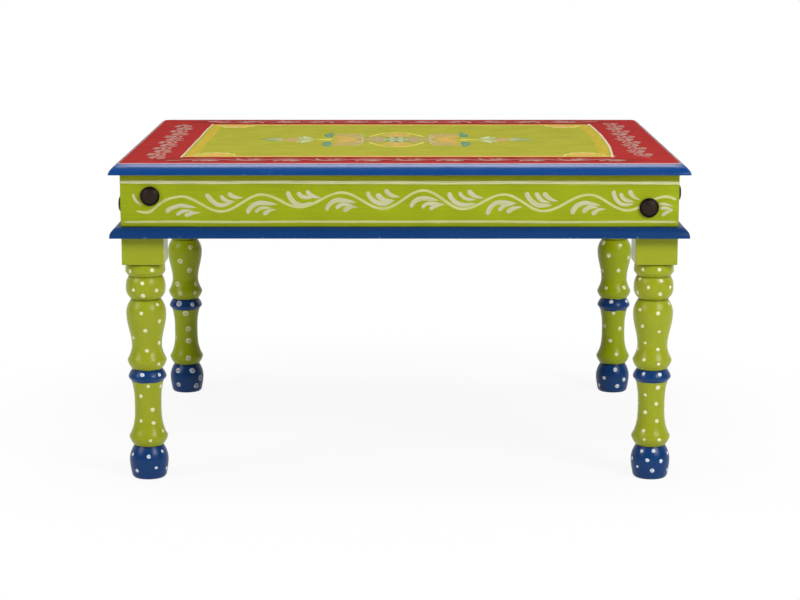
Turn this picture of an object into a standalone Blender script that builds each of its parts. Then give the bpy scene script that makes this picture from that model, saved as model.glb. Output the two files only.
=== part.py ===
"""Hand-painted coffee table: a moulded top on a mitred apron, bolted to four turned legs.

Units are metres and +Z is up. The front of the table faces -Y, and the origin lies on the
floor under the middle of the table.

The four sides are alike but for their length, and so are the four legs. Each side is made in
its own frame, in which +X runs along the side, left to right for someone who faces it, and
-Y points outwards. An empty turns that frame to its place round the table.
"""

from math import cos, pi, radians, tau

import bmesh
import bpy

TABLE_NAME = "painted_coffee_table"
CUTTERS_NAME = "cutters"

# Gap between pieces that touch.
CLEARANCE = 0.0003
# Length by which a cutter runs past the wood that it cuts.
CUT_OVERRUN = 0.010
# Points closer than this are one point on a turned solid's axis.
MERGE_DISTANCE = 0.00001
# Edges sharper than this stay crisp on a turned solid.
SMOOTH_ANGLE = radians(40)

# Height of the whole table.
TABLE_HEIGHT = 0.450

# Table top: a board whose edge curves down to a thin upright lip. The curve's shape runs from
# a straight chamfer at 0.25 to a quarter round at 0.5.
TOP_LENGTH = 0.800
TOP_WIDTH = 0.650
TOP_THICKNESS = 0.015
TOP_OVERHANG = 0.0145
EDGE_LIP = 0.002
EDGE_SEGMENTS = 5
TOP_EDGE_SHAPE = 0.35
MOULDING_EDGE_SHAPE = 0.5

# Apron boards, and the moulded strips under them.
APRON_HEIGHT = 0.073
APRON_THICKNESS = 0.019
MOULDING_THICKNESS = 0.014
MOULDING_OVERHANG = 0.0145

# Square part of the leg: the block that shows, and the post behind the apron.
BLOCK_HEIGHT = 0.0391
POST_SIDE = 0.0395
BLOCK_SETBACK = 0.0005
TENON_DEPTH = 0.006

# Turned part of the leg, from the floor up: heights of its curves. The stem between the ball
# foot and the ring is as tall as the rest of the table leaves it, and has its waist part way up.
FOOT_EDGE_HEIGHT = 0.005
FOOT_LOWER_HEIGHT = 0.020
FOOT_UPPER_HEIGHT = 0.0215
STEM_LIP_HEIGHT = 0.0135
STEM_WAIST_SHARE = 0.575
RING_LOWER_HEIGHT = 0.0055
RING_UPPER_HEIGHT = 0.0115
VASE_LIP_HEIGHT = 0.0135
VASE_HOLLOW_HEIGHT = 0.0195
VASE_SWELL_HEIGHT = 0.0465
VASE_SHOULDER_HEIGHT = 0.0205
BEAD_LOWER_HEIGHT = 0.0165
BEAD_UPPER_HEIGHT = 0.0165
COLLAR_LOWER_HEIGHT = 0.0065
COLLAR_UPPER_HEIGHT = 0.012

# Turned part of the leg, from the floor up: diameters where those curves meet.
SOLE_DIAMETER = 0.044
FOOT_EDGE_DIAMETER = 0.0495
FOOT_DIAMETER = 0.055
FOOT_NECK_DIAMETER = 0.041
STEM_LIP_DIAMETER = 0.0545
STEM_WAIST_DIAMETER = 0.0375
STEM_TOP_DIAMETER = 0.0455
RING_DIAMETER = 0.0535
RING_NECK_DIAMETER = 0.042
VASE_LIP_DIAMETER = 0.055
VASE_WAIST_DIAMETER = 0.042
VASE_DIAMETER = 0.056
VASE_NECK_DIAMETER = 0.041
BEAD_DIAMETER = 0.0555
GROOVE_DIAMETER = 0.0465
COLLAR_DIAMETER = 0.0558
COLLAR_TOP_DIAMETER = 0.054

# How fast a turned curve leaves its upright end: a parabola, or a tighter sweep.
ROUND_POWER = 2.0
FLARE_POWER = 2.5
HOLLOW_POWER = 3.5
CURVE_STEPS = 3
LEG_STEPS = 18

# Bolts through apron and post, with a washer and a nut inside.
BOLT_DIAMETER = 0.008
BOLT_HEAD_RIM = 0.0095
BOLT_HEAD_EDGE = 0.003
BOLT_HEAD_CHAMFER = 0.004
BOLT_HEAD_RISE = 0.003
BOLT_HEAD_CROWN = 0.001
BOLT_TAIL = 0.004
BOLT_HOLE_WALL = 0.0074
BOLT_OFFSET = 0.0025
BOLT_DROP = 0.0016
BOLT_STEPS = 16
WASHER_RIM = 0.006
WASHER_THICKNESS = 0.0018
NUT_WALL = 0.0022
NUT_HEIGHT = 0.0065
NUT_SIDES = 6

# Cleats that hold the top, and the room for a spanner beside the nuts.
CLEAT_SIDE = 0.020
SPANNER_ROOM = 0.025

# Countersunk wood screws.
SCREW_DIAMETER = 0.004
SCREW_HEAD_RIM = 0.002
SCREW_TIP = 0.005
SCREW_SINK = 0.0005
SCREW_STEPS = 8
TOP_COVER = 0.005
LONG_CLEAT_SCREW_COUNT = 3
SHORT_CLEAT_SCREW_COUNT = 2
CLEAT_SCREW_MARGIN = 0.040
MOULDING_SCREW_COUNT = 2
MOULDING_SCREW_BITE = 0.020
MOULDING_SCREW_MARGIN = 0.060

# Paint, metal and wood: colour as sRGB, roughness, metallic value.
GREEN_PAINT = ("#9AA51E", 0.45, 0.0)
FIELD_GREEN_PAINT = ("#AEAE40", 0.45, 0.0)
BLUE_PAINT = ("#214C88", 0.40, 0.0)
DARK_IRON = ("#342C27", 0.45, 0.8)
ZINC_STEEL = ("#A9ABA8", 0.35, 1.0)
BARE_WOOD = ("#B48A5A", 0.70, 0.0)

# Half sizes of the apron's outline.
APRON_HALF_LENGTH = TOP_LENGTH / 2 - TOP_OVERHANG
APRON_HALF_WIDTH = TOP_WIDTH / 2 - TOP_OVERHANG

# Depths measured inwards from the apron's outer face.
POST_OUTER = APRON_THICKNESS + CLEARANCE
POST_INNER = POST_OUTER + POST_SIDE
BLOCK_SIDE = POST_INNER - BLOCK_SETBACK
LEG_AXIS = BLOCK_SETBACK + BLOCK_SIDE / 2
BOLT_AXIS = POST_OUTER + POST_SIDE / 2 + BOLT_OFFSET
WASHER_SEAT = POST_INNER + CLEARANCE
NUT_SEAT = WASHER_SEAT + WASHER_THICKNESS + CLEARANCE
BOLT_END = NUT_SEAT + NUT_HEIGHT + BOLT_TAIL
CLEAT_END = BOLT_END + SPANNER_ROOM

# Heights above the floor, from the top down to the leg's square shoulder.
TOP_Z = TABLE_HEIGHT - TOP_THICKNESS
APRON_TOP_Z = TOP_Z - CLEARANCE
CLEAT_Z = APRON_TOP_Z - CLEAT_SIDE
APRON_Z = APRON_TOP_Z - APRON_HEIGHT
MOULDING_Z = APRON_Z - CLEARANCE - MOULDING_THICKNESS
SHOULDER_Z = MOULDING_Z - CLEARANCE
TURNED_HEIGHT = SHOULDER_Z - BLOCK_HEIGHT

# The stem's two curves, under and over its waist, from what the other turnings leave.
STEM_HEIGHT = TURNED_HEIGHT - sum((
    FOOT_EDGE_HEIGHT, FOOT_LOWER_HEIGHT, FOOT_UPPER_HEIGHT, STEM_LIP_HEIGHT,
    RING_LOWER_HEIGHT, RING_UPPER_HEIGHT,
    VASE_LIP_HEIGHT, VASE_HOLLOW_HEIGHT, VASE_SWELL_HEIGHT, VASE_SHOULDER_HEIGHT,
    BEAD_LOWER_HEIGHT, BEAD_UPPER_HEIGHT,
    COLLAR_LOWER_HEIGHT, COLLAR_UPPER_HEIGHT,
))
STEM_HOLLOW_HEIGHT = STEM_HEIGHT * STEM_WAIST_SHARE
STEM_FLARE_HEIGHT = STEM_HEIGHT - STEM_HOLLOW_HEIGHT

# The two bolts of a corner pass above and below a line a little under the apron's middle.
BOLT_SPACING = BOLT_DIAMETER + 2 * CLEARANCE + BOLT_HOLE_WALL
BOLT_HIGH_Z = APRON_Z + (APRON_HEIGHT + BOLT_SPACING) / 2 - BOLT_DROP
BOLT_LOW_Z = BOLT_HIGH_Z - BOLT_SPACING

# The sides, each a quarter turn on from the one before, and the leg at a side's right-hand end.
SIDES = ("front", "right", "back", "left")
LEGS = {
    "front": "leg_front_right",
    "right": "leg_back_right",
    "back": "leg_back_left",
    "left": "leg_front_left",
}


def clear_scene():
    """Removes every object, so that the script starts from nothing."""
    for item in list(bpy.data.objects):
        bpy.data.objects.remove(item, do_unlink=True)


def new_collection(name):
    """Adds a collection to the scene."""
    collection = bpy.data.collections.new(name)
    bpy.context.scene.collection.children.link(collection)
    return collection


def linear_colour(code):
    """Linear RGBA of an sRGB hex code."""
    shares = [int(code[start:start + 2], 16) / 255 for start in (1, 3, 5)]
    linear = [s / 12.92 if s <= 0.04045 else ((s + 0.055) / 1.055) ** 2.4 for s in shares]
    return (*linear, 1.0)


def new_material(name, finish):
    """A Principled material with a finish's colour, roughness and metallic value."""
    colour, roughness, metallic = finish
    material = bpy.data.materials.new(name)
    material.use_nodes = True
    shader = material.node_tree.nodes["Principled BSDF"]
    shader.inputs["Base Color"].default_value = linear_colour(colour)
    shader.inputs["Roughness"].default_value = roughness
    shader.inputs["Metallic"].default_value = metallic
    material.diffuse_color = linear_colour(colour)
    return material


def add_piece(name, mesh, parent, finish):
    """Adds one piece of the table, with its own material, to its parent's frame."""
    piece = bpy.data.objects.new(name, mesh)
    bpy.data.collections[TABLE_NAME].objects.link(piece)
    piece.parent = parent
    if not mesh.materials:
        mesh.materials.append(None)
    piece.material_slots[0].link = "OBJECT"
    piece.material_slots[0].material = new_material(name, finish)
    return piece


def add_cutter(name, mesh, parent):
    """Adds a cutter, which shapes the pieces and isn't one itself."""
    cutter = bpy.data.objects.new(name, mesh)
    bpy.data.collections[CUTTERS_NAME].objects.link(cutter)
    cutter.parent = parent
    cutter.hide_render = True
    cutter.display_type = "WIRE"
    return cutter


def add_boolean(piece, operation, cutter):
    """Joins a cutter to a piece, or cuts it out of the piece."""
    boolean = piece.modifiers.new(cutter.name, "BOOLEAN")
    boolean.operation = operation
    boolean.object = cutter
    boolean.solver = "EXACT"


def box_mesh(name, low, high):
    """A box between two corners."""
    shell = bmesh.new()
    bmesh.ops.create_cube(shell, size=1.0)
    for vert in shell.verts:
        for axis in range(3):
            vert.co[axis] = high[axis] if vert.co[axis] > 0 else low[axis]
    mesh = bpy.data.meshes.new(name)
    shell.to_mesh(mesh)
    shell.free()
    return mesh


def mitred_mesh(name, half_length, outer_y, inner_y, low_z, high_z, round_edge):
    """A board along X whose ends are cut at 45 degrees, longest on its outer face."""
    half = half_length - CLEARANCE
    mesh = box_mesh(name, (-half, outer_y, low_z), (half, inner_y, high_z))
    middle_y = (outer_y + inner_y) / 2
    for vert in mesh.vertices:
        if vert.co.y > middle_y:
            vert.co.x -= (inner_y - outer_y) * (1 if vert.co.x > 0 else -1)
    if round_edge:
        middle_z = (low_z + high_z) / 2
        weigh_edges(mesh, lambda point: point.z > middle_z and point.y < middle_y)
    return mesh


def weigh_edges(mesh, lies_on_edge):
    """Marks for the Bevel modifier the edges whose two ends pass a test."""
    weights = mesh.attributes.new("bevel_weight_edge", "FLOAT", "EDGE")
    for edge in mesh.edges:
        ends = [mesh.vertices[index].co for index in edge.vertices]
        weights.data[edge.index].value = 1.0 if all(lies_on_edge(end) for end in ends) else 0.0


def round_edges(piece, thickness, overhang, shape):
    """Rounds the marked edges down to the lip, and no further in than the overhang."""
    bevel = piece.modifiers.new("rounded_edge", "BEVEL")
    bevel.limit_method = "WEIGHT"
    bevel.offset_type = "OFFSET"
    bevel.width = min(thickness - EDGE_LIP, overhang)
    bevel.segments = EDGE_SEGMENTS
    bevel.profile = shape
    bevel.use_clamp_overlap = False


def turned_mesh(name, outline, steps, closed=False):
    """A solid turned about Z from radius and height pairs that run down its outer side."""
    profile = bpy.data.meshes.new(name + "_outline")
    count = len(outline)
    edges = [(index, index + 1) for index in range(count - 1)]
    if closed:
        edges.append((count - 1, 0))
    profile.from_pydata([(radius, 0.0, height) for radius, height in outline], edges, [])
    blank = bpy.data.objects.new(name + "_blank", profile)
    bpy.context.scene.collection.objects.link(blank)
    screw = blank.modifiers.new("turning", "SCREW")
    screw.axis = "Z"
    screw.angle = tau
    screw.steps = steps
    screw.render_steps = steps
    screw.use_merge_vertices = True
    screw.merge_threshold = MERGE_DISTANCE
    graph = bpy.context.evaluated_depsgraph_get()
    mesh = bpy.data.meshes.new_from_object(blank.evaluated_get(graph))
    mesh.name = name
    mesh.shade_smooth()
    mesh.set_sharp_from_angle(angle=SMOOTH_ANGLE)
    bpy.data.objects.remove(blank, do_unlink=True)
    return mesh


def curve_share(progress, upright_end, power):
    """Share of a curve's change in radius at a share of its height.

    The curve is upright at its lower end, at its upper end, or at both.
    """
    if upright_end == "lower":
        return progress ** power
    if upright_end == "upper":
        return 1 - (1 - progress) ** power
    return (1 - cos(pi * progress)) / 2


def leg_outline():
    """Outline of the turned part, from inside the square stock down to the sole."""
    curves = (
        (FOOT_EDGE_HEIGHT, FOOT_EDGE_DIAMETER, "upper", ROUND_POWER),
        (FOOT_LOWER_HEIGHT, FOOT_DIAMETER, "upper", ROUND_POWER),
        (FOOT_UPPER_HEIGHT, FOOT_NECK_DIAMETER, "lower", ROUND_POWER),
        (STEM_LIP_HEIGHT, STEM_LIP_DIAMETER, "upper", ROUND_POWER),
        (STEM_HOLLOW_HEIGHT, STEM_WAIST_DIAMETER, "upper", HOLLOW_POWER),
        (STEM_FLARE_HEIGHT, STEM_TOP_DIAMETER, "lower", FLARE_POWER),
        (RING_LOWER_HEIGHT, RING_DIAMETER, "upper", ROUND_POWER),
        (RING_UPPER_HEIGHT, RING_NECK_DIAMETER, "lower", ROUND_POWER),
        (VASE_LIP_HEIGHT, VASE_LIP_DIAMETER, "upper", ROUND_POWER),
        (VASE_HOLLOW_HEIGHT, VASE_WAIST_DIAMETER, "upper", ROUND_POWER),
        (VASE_SWELL_HEIGHT, VASE_DIAMETER, "both", ROUND_POWER),
        (VASE_SHOULDER_HEIGHT, VASE_NECK_DIAMETER, "lower", ROUND_POWER),
        (BEAD_LOWER_HEIGHT, BEAD_DIAMETER, "upper", ROUND_POWER),
        (BEAD_UPPER_HEIGHT, GROOVE_DIAMETER, "lower", ROUND_POWER),
        (COLLAR_LOWER_HEIGHT, COLLAR_DIAMETER, "upper", ROUND_POWER),
        (COLLAR_UPPER_HEIGHT, COLLAR_TOP_DIAMETER, "lower", ROUND_POWER),
    )
    height = 0.0
    radius = SOLE_DIAMETER / 2
    points = [(0.0, height), (radius, height)]
    for rise, diameter, upright_end, power in curves:
        change = diameter / 2 - radius
        for step in range(1, CURVE_STEPS + 1):
            progress = step / CURVE_STEPS
            share = curve_share(progress, upright_end, power)
            points.append((radius + change * share, height + rise * progress))
        height += rise
        radius = diameter / 2
    points.append((radius, height + TENON_DEPTH))
    points.append((0.0, height + TENON_DEPTH))
    return points[::-1]


def bolt_outline():
    """Outline of a button-headed bolt, whose head stands on the plane Z = 0."""
    shank = BOLT_DIAMETER / 2
    head = shank + BOLT_HEAD_RIM
    face = head - BOLT_HEAD_CHAMFER
    face_height = BOLT_HEAD_EDGE + BOLT_HEAD_RISE
    end = BOLT_END + CLEARANCE
    return [
        (0.0, face_height + BOLT_HEAD_CROWN),
        (face, face_height),
        (head, BOLT_HEAD_EDGE),
        (head, 0.0),
        (shank, 0.0),
        (shank, -end),
        (0.0, -end),
    ]


def bolt_hole_outline():
    """Outline of a bolt hole through apron and post, from the plane Z = 0 down."""
    radius = BOLT_DIAMETER / 2 + CLEARANCE
    end = POST_INNER + CUT_OVERRUN
    return [(0.0, CUT_OVERRUN), (radius, CUT_OVERRUN), (radius, -end), (0.0, -end)]


def washer_outline():
    """Outline of a washer that lies under the plane Z = 0."""
    inner = BOLT_DIAMETER / 2 + CLEARANCE
    outer = inner + WASHER_RIM
    return [(inner, 0.0), (outer, 0.0), (outer, -WASHER_THICKNESS), (inner, -WASHER_THICKNESS)]


def nut_mesh():
    """A hexagon nut under the plane Z = 0: a six-sided ring with a round bore."""
    bore = BOLT_DIAMETER / 2 + CLEARANCE
    corner = (bore + NUT_WALL) / cos(pi / NUT_SIDES)
    outline = [(corner, 0.0), (corner, -NUT_HEIGHT), (0.0, -NUT_HEIGHT)]
    blank = turned_mesh("nut_body", [(0.0, 0.0), *outline], NUT_SIDES)
    drill_outline = [
        (0.0, CUT_OVERRUN),
        (bore, CUT_OVERRUN),
        (bore, -NUT_HEIGHT - CUT_OVERRUN),
        (0.0, -NUT_HEIGHT - CUT_OVERRUN),
    ]
    nut = bpy.data.objects.new("nut_blank", blank)
    bpy.context.scene.collection.objects.link(nut)
    drill = add_cutter("nut_bore", turned_mesh("nut_bore", drill_outline, BOLT_STEPS), None)
    add_boolean(nut, "DIFFERENCE", drill)
    graph = bpy.context.evaluated_depsgraph_get()
    mesh = bpy.data.meshes.new_from_object(nut.evaluated_get(graph))
    mesh.name = "nut"
    bpy.data.objects.remove(nut, do_unlink=True)
    bpy.data.objects.remove(drill, do_unlink=True)
    return mesh


def screw_outline(length):
    """Outline of a countersunk screw whose head lies on Z = 0 and whose tip points up."""
    shank = SCREW_DIAMETER / 2
    head = shank + SCREW_HEAD_RIM
    return [(0.0, length), (shank, length - SCREW_TIP), (shank, SCREW_HEAD_RIM), (head, 0.0), (0.0, 0.0)]


def screw_hole_outline(length):
    """Outline of the hole for such a screw, a clearance larger and open below."""
    shank = SCREW_DIAMETER / 2 + CLEARANCE
    head = shank + SCREW_HEAD_RIM
    below = -SCREW_SINK - CUT_OVERRUN
    return [
        (0.0, length + CLEARANCE),
        (shank, length + CLEARANCE - SCREW_TIP),
        (shank, SCREW_HEAD_RIM),
        (head, 0.0),
        (head, below),
        (0.0, below),
    ]


def spread(count, half_length):
    """Evenly spaced places from one end of a run to the other, or its middle for one."""
    if count == 1:
        return [0.0]
    return [half_length * (2 * index / (count - 1) - 1) for index in range(count)]


def side_sizes(turns):
    """Half of a side's own length, and its distance from the table's middle."""
    if turns % 2 == 0:
        return APRON_HALF_LENGTH, APRON_HALF_WIDTH
    return APRON_HALF_WIDTH, APRON_HALF_LENGTH


def add_side_frame(name, turns):
    """The empty that turns a side's frame to its place round the table."""
    empty = bpy.data.objects.new("side_" + name, None)
    bpy.data.collections[TABLE_NAME].objects.link(empty)
    empty.rotation_euler.z = turns * pi / 2
    return empty


def face_outwards(item, x, depth, half_depth, z):
    """Places a turned piece with its axis square to the side, at a depth behind its face."""
    item.location = (x, depth - half_depth, z)
    item.rotation_euler.x = pi / 2


def add_bolt_holes(name, frame, turns, hole):
    """Cutters for a side's two bolts: the high one on its left and the low one on its right."""
    half_run, half_depth = side_sizes(turns)
    x = half_run - BOLT_AXIS
    holes = {}
    for level, place, z in (("high", -x, BOLT_HIGH_Z), ("low", x, BOLT_LOW_Z)):
        holes[level] = add_cutter(f"bolt_hole_{name}_{level}", hole, frame)
        face_outwards(holes[level], place, 0.0, half_depth, z)
    return holes


def add_bolts(name, frame, turns, meshes):
    """A side's two bolts, each with its washer and nut inside the post."""
    half_run, half_depth = side_sizes(turns)
    x = half_run - BOLT_AXIS
    stack = (
        ("bolt", -CLEARANCE, DARK_IRON),
        ("washer", WASHER_SEAT, ZINC_STEEL),
        ("nut", NUT_SEAT, ZINC_STEEL),
    )
    for level, place, z in (("high", -x, BOLT_HIGH_Z), ("low", x, BOLT_LOW_Z)):
        for kind, depth, finish in stack:
            piece = add_piece(f"{kind}_{name}_{level}", meshes[kind], frame, finish)
            face_outwards(piece, place, depth, half_depth, z)


def add_screws(kind, name, frame, places, depth, base_z, mesh, hole, turns):
    """A row of screws up through a strip on a side, and the cutters of their holes."""
    half_depth = side_sizes(turns)[1]
    holes = []
    for number, x in enumerate(places, start=1):
        at = (x, depth - half_depth, base_z + SCREW_SINK)
        screw = add_piece(f"{kind}_screw_{name}_{number}", mesh, frame, ZINC_STEEL)
        screw.location = at
        cutter = add_cutter(f"{kind}_screw_hole_{name}_{number}", hole, frame)
        cutter.location = at
        holes.append(cutter)
    return holes


def add_cleat(name, frame, turns, mesh, hole):
    """The strip that ties the top to a side's apron, with its screws and their holes."""
    half_run, half_depth = side_sizes(turns)
    half = half_run - CLEAT_END
    low_y = POST_OUTER - half_depth
    low = (-half, low_y, CLEAT_Z)
    high = (half, low_y + CLEAT_SIDE, APRON_TOP_Z)
    cleat = add_piece("cleat_" + name, box_mesh("cleat_" + name, low, high), frame, BARE_WOOD)
    count = LONG_CLEAT_SCREW_COUNT if turns % 2 == 0 else SHORT_CLEAT_SCREW_COUNT
    places = spread(count, half - CLEAT_SCREW_MARGIN)
    middle = POST_OUTER + CLEAT_SIDE / 2
    holes = add_screws("cleat", name, frame, places, middle, CLEAT_Z, mesh, hole, turns)
    for cutter in holes:
        add_boolean(cleat, "DIFFERENCE", cutter)
    return holes


def add_moulding(name, frame, turns, mesh, hole):
    """The moulded strip under a side's apron, with its screws and their holes."""
    half_run, half_depth = side_sizes(turns)
    strip_mesh = mitred_mesh(
        "moulding_" + name,
        half_run + MOULDING_OVERHANG,
        -half_depth - MOULDING_OVERHANG,
        APRON_THICKNESS - half_depth,
        MOULDING_Z,
        MOULDING_Z + MOULDING_THICKNESS,
        round_edge=True,
    )
    strip = add_piece("moulding_" + name, strip_mesh, frame, BLUE_PAINT)
    round_edges(strip, MOULDING_THICKNESS, MOULDING_OVERHANG, MOULDING_EDGE_SHAPE)
    places = spread(MOULDING_SCREW_COUNT, half_run - POST_INNER - MOULDING_SCREW_MARGIN)
    middle = APRON_THICKNESS / 2
    holes = add_screws("moulding", name, frame, places, middle, MOULDING_Z, mesh, hole, turns)
    for cutter in holes:
        add_boolean(strip, "DIFFERENCE", cutter)
    return holes


def add_apron(name, frame, turns, holes):
    """A side's apron board, drilled for its bolts and for the moulding's screws."""
    half_run, half_depth = side_sizes(turns)
    mesh = mitred_mesh(
        "apron_" + name,
        half_run,
        -half_depth,
        APRON_THICKNESS - half_depth,
        APRON_Z,
        APRON_TOP_Z,
        round_edge=False,
    )
    apron = add_piece("apron_" + name, mesh, frame, GREEN_PAINT)
    for cutter in holes:
        add_boolean(apron, "DIFFERENCE", cutter)


def add_leg(name, frame, turns, turned, holes):
    """The leg at a side's right-hand end: turned below, square above, rebated for the apron."""
    half_run, half_depth = side_sizes(turns)
    leg = add_piece(name, turned, frame, GREEN_PAINT)
    leg.location = (half_run - LEG_AXIS, LEG_AXIS - half_depth, 0.0)
    half = BLOCK_SIDE / 2
    stock_mesh = box_mesh(name + "_stock", (-half, -half, TURNED_HEIGHT), (half, half, APRON_TOP_Z))
    stock = add_cutter(name + "_stock", stock_mesh, leg)
    add_boolean(leg, "UNION", stock)
    rebate = half - (POST_OUTER - BLOCK_SETBACK)
    far = half + CUT_OVERRUN
    high_z = APRON_TOP_Z + CUT_OVERRUN
    for side, low, high in (
        ("right", (rebate, -far, SHOULDER_Z), (far, far, high_z)),
        ("front", (-far, -far, SHOULDER_Z), (far, -rebate, high_z)),
    ):
        cutter = add_cutter(f"{name}_rebate_{side}", box_mesh(f"{name}_rebate_{side}", low, high), leg)
        add_boolean(leg, "DIFFERENCE", cutter)
    for cutter in holes:
        add_boolean(leg, "DIFFERENCE", cutter)


def add_table_top(holes):
    """The top board, rounded all round and drilled from below for the cleats' screws."""
    half_length = TOP_LENGTH / 2
    half_width = TOP_WIDTH / 2
    corner = (half_length, half_width, TABLE_HEIGHT)
    mesh = box_mesh("table_top", (-half_length, -half_width, TOP_Z), corner)
    middle_z = (TOP_Z + TABLE_HEIGHT) / 2
    weigh_edges(mesh, lambda point: point.z > middle_z)
    top = add_piece("table_top", mesh, None, FIELD_GREEN_PAINT)
    round_edges(top, TOP_THICKNESS, TOP_OVERHANG, TOP_EDGE_SHAPE)
    for cutter in holes:
        add_boolean(top, "DIFFERENCE", cutter)


def main():
    """Builds the table side by side, from the fasteners' holes to the boards and legs."""
    clear_scene()
    new_collection(TABLE_NAME)
    new_collection(CUTTERS_NAME)
    frames = {name: add_side_frame(name, turns) for turns, name in enumerate(SIDES)}
    fasteners = {
        "bolt": turned_mesh("bolt", bolt_outline(), BOLT_STEPS),
        "washer": turned_mesh("washer", washer_outline(), BOLT_STEPS, closed=True),
        "nut": nut_mesh(),
    }
    cleat_screw_length = CLEAT_SIDE + CLEARANCE + TOP_THICKNESS - TOP_COVER - SCREW_SINK
    cleat_screw = turned_mesh("cleat_screw", screw_outline(cleat_screw_length), SCREW_STEPS)
    cleat_hole = turned_mesh("cleat_hole", screw_hole_outline(cleat_screw_length), SCREW_STEPS)
    moulding_screw_length = MOULDING_THICKNESS + CLEARANCE + MOULDING_SCREW_BITE - SCREW_SINK
    moulding_screw = turned_mesh("moulding_screw", screw_outline(moulding_screw_length), SCREW_STEPS)
    moulding_hole = turned_mesh("moulding_hole", screw_hole_outline(moulding_screw_length), SCREW_STEPS)
    bolt_hole = turned_mesh("bolt_hole", bolt_hole_outline(), BOLT_STEPS)
    turned_leg = turned_mesh("turned_leg", leg_outline(), LEG_STEPS)
    bolt_holes = {
        name: add_bolt_holes(name, frames[name], turns, bolt_hole) for turns, name in enumerate(SIDES)
    }
    top_holes = []
    for turns, name in enumerate(SIDES):
        frame = frames[name]
        next_name = SIDES[(turns + 1) % len(SIDES)]
        add_bolts(name, frame, turns, fasteners)
        top_holes += add_cleat(name, frame, turns, cleat_screw, cleat_hole)
        moulding_holes = add_moulding(name, frame, turns, moulding_screw, moulding_hole)
        add_apron(name, frame, turns, [*bolt_holes[name].values(), *moulding_holes])
        leg_holes = [bolt_holes[name]["low"], bolt_holes[next_name]["high"]]
        add_leg(LEGS[name], frame, turns, turned_leg, leg_holes)
    add_table_top(top_holes)


if __name__ == "__main__":
    main()
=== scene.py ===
"""Looks of the hand-painted coffee table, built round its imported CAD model.

Units are metres and +Z is up. The front of the table faces -Y, and the origin lies on the
floor under the middle of the table. Each side of the table has a frame of its own, in which
+X runs along the side, left to right for someone who faces it, and -Y points outwards.
Paint is laid as thin raised strokes and dots, which are closed meshes of their own.
"""

from math import asin, ceil, copysign, cos, pi, radians, sin, sqrt, tau
from random import Random

import bmesh
import bpy
from mathutils import Matrix, Vector, noise


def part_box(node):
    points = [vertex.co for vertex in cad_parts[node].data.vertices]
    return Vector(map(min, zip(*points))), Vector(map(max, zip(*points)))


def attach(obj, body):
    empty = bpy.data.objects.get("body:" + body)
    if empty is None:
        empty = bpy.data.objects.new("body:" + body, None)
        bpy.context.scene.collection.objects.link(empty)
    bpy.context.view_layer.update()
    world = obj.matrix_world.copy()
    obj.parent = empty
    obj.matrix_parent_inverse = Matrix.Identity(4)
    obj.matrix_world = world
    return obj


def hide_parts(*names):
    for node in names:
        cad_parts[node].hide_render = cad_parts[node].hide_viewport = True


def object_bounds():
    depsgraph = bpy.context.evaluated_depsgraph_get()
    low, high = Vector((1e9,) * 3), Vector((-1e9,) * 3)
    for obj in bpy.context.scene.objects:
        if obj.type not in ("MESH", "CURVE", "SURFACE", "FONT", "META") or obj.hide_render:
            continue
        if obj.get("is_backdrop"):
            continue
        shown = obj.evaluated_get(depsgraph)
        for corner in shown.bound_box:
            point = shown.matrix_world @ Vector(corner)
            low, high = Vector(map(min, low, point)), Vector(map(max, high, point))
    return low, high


bl_info = {
    "name": "Painted coffee table",
    "version": (1, 0, 0),
    "blender": (4, 5, 0),
    "location": "3D View > Sidebar > Painted table",
    "description": "Dresses the CAD model of a hand-painted coffee table",
    "category": "Object",
}

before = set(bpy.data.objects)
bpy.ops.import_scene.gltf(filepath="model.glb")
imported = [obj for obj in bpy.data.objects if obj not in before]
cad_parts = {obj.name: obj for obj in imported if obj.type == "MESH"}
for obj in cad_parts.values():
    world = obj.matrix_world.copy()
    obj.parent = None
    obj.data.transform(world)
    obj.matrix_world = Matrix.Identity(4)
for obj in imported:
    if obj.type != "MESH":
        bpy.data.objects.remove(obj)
CAD_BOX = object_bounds()

MM = 0.001
# Edges sharper than this stay crisp.
SHARP_ANGLE = radians(38)

# The four sides follow each other anticlockwise round the table, a quarter turn apart.
SIDES = ("front", "right", "back", "left")
LONG_SIDES = ("front", "back")
LEGS = ("leg_front_left", "leg_front_right", "leg_back_right", "leg_back_left")

# Places that come from the CAD nodes.
TOP_LOW, TOP_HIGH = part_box("table_top")
APRON_LOW, APRON_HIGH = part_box("apron_front")
MOULDING_LOW, MOULDING_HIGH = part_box("moulding_front")
APRON_HALF = {"front": APRON_HIGH.x, "right": -APRON_LOW.y}
APRON_HALF.update(back=APRON_HALF["front"], left=APRON_HALF["right"])

# The edge of the top and of the mouldings: a curve over a thin upright lip. A power of 1 gives a
# straight chamfer, and 2 a quarter round.
EDGE_LIP = 2 * MM
TOP_ROUND = TOP_HIGH.z - TOP_LOW.z - EDGE_LIP
MOULDING_ROUND = MOULDING_HIGH.z - MOULDING_LOW.z - EDGE_LIP
TOP_POWER = 1.32
MOULDING_POWER = 2.0
# Steps of that curve, and of a rounded corner seen from above.
EDGE_STEPS = 10
CORNER_STEPS = 4
# Slope of the top's edge where it leaves the flat.
RIM_FALL = radians(24)
# Radius of the top's two corners at the back, which wear has rounded.
BACK_EASE = 10 * MM
# The bare underside of the top starts this far in from its edge.
UNDERSIDE_INSET = 30 * MM

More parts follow.
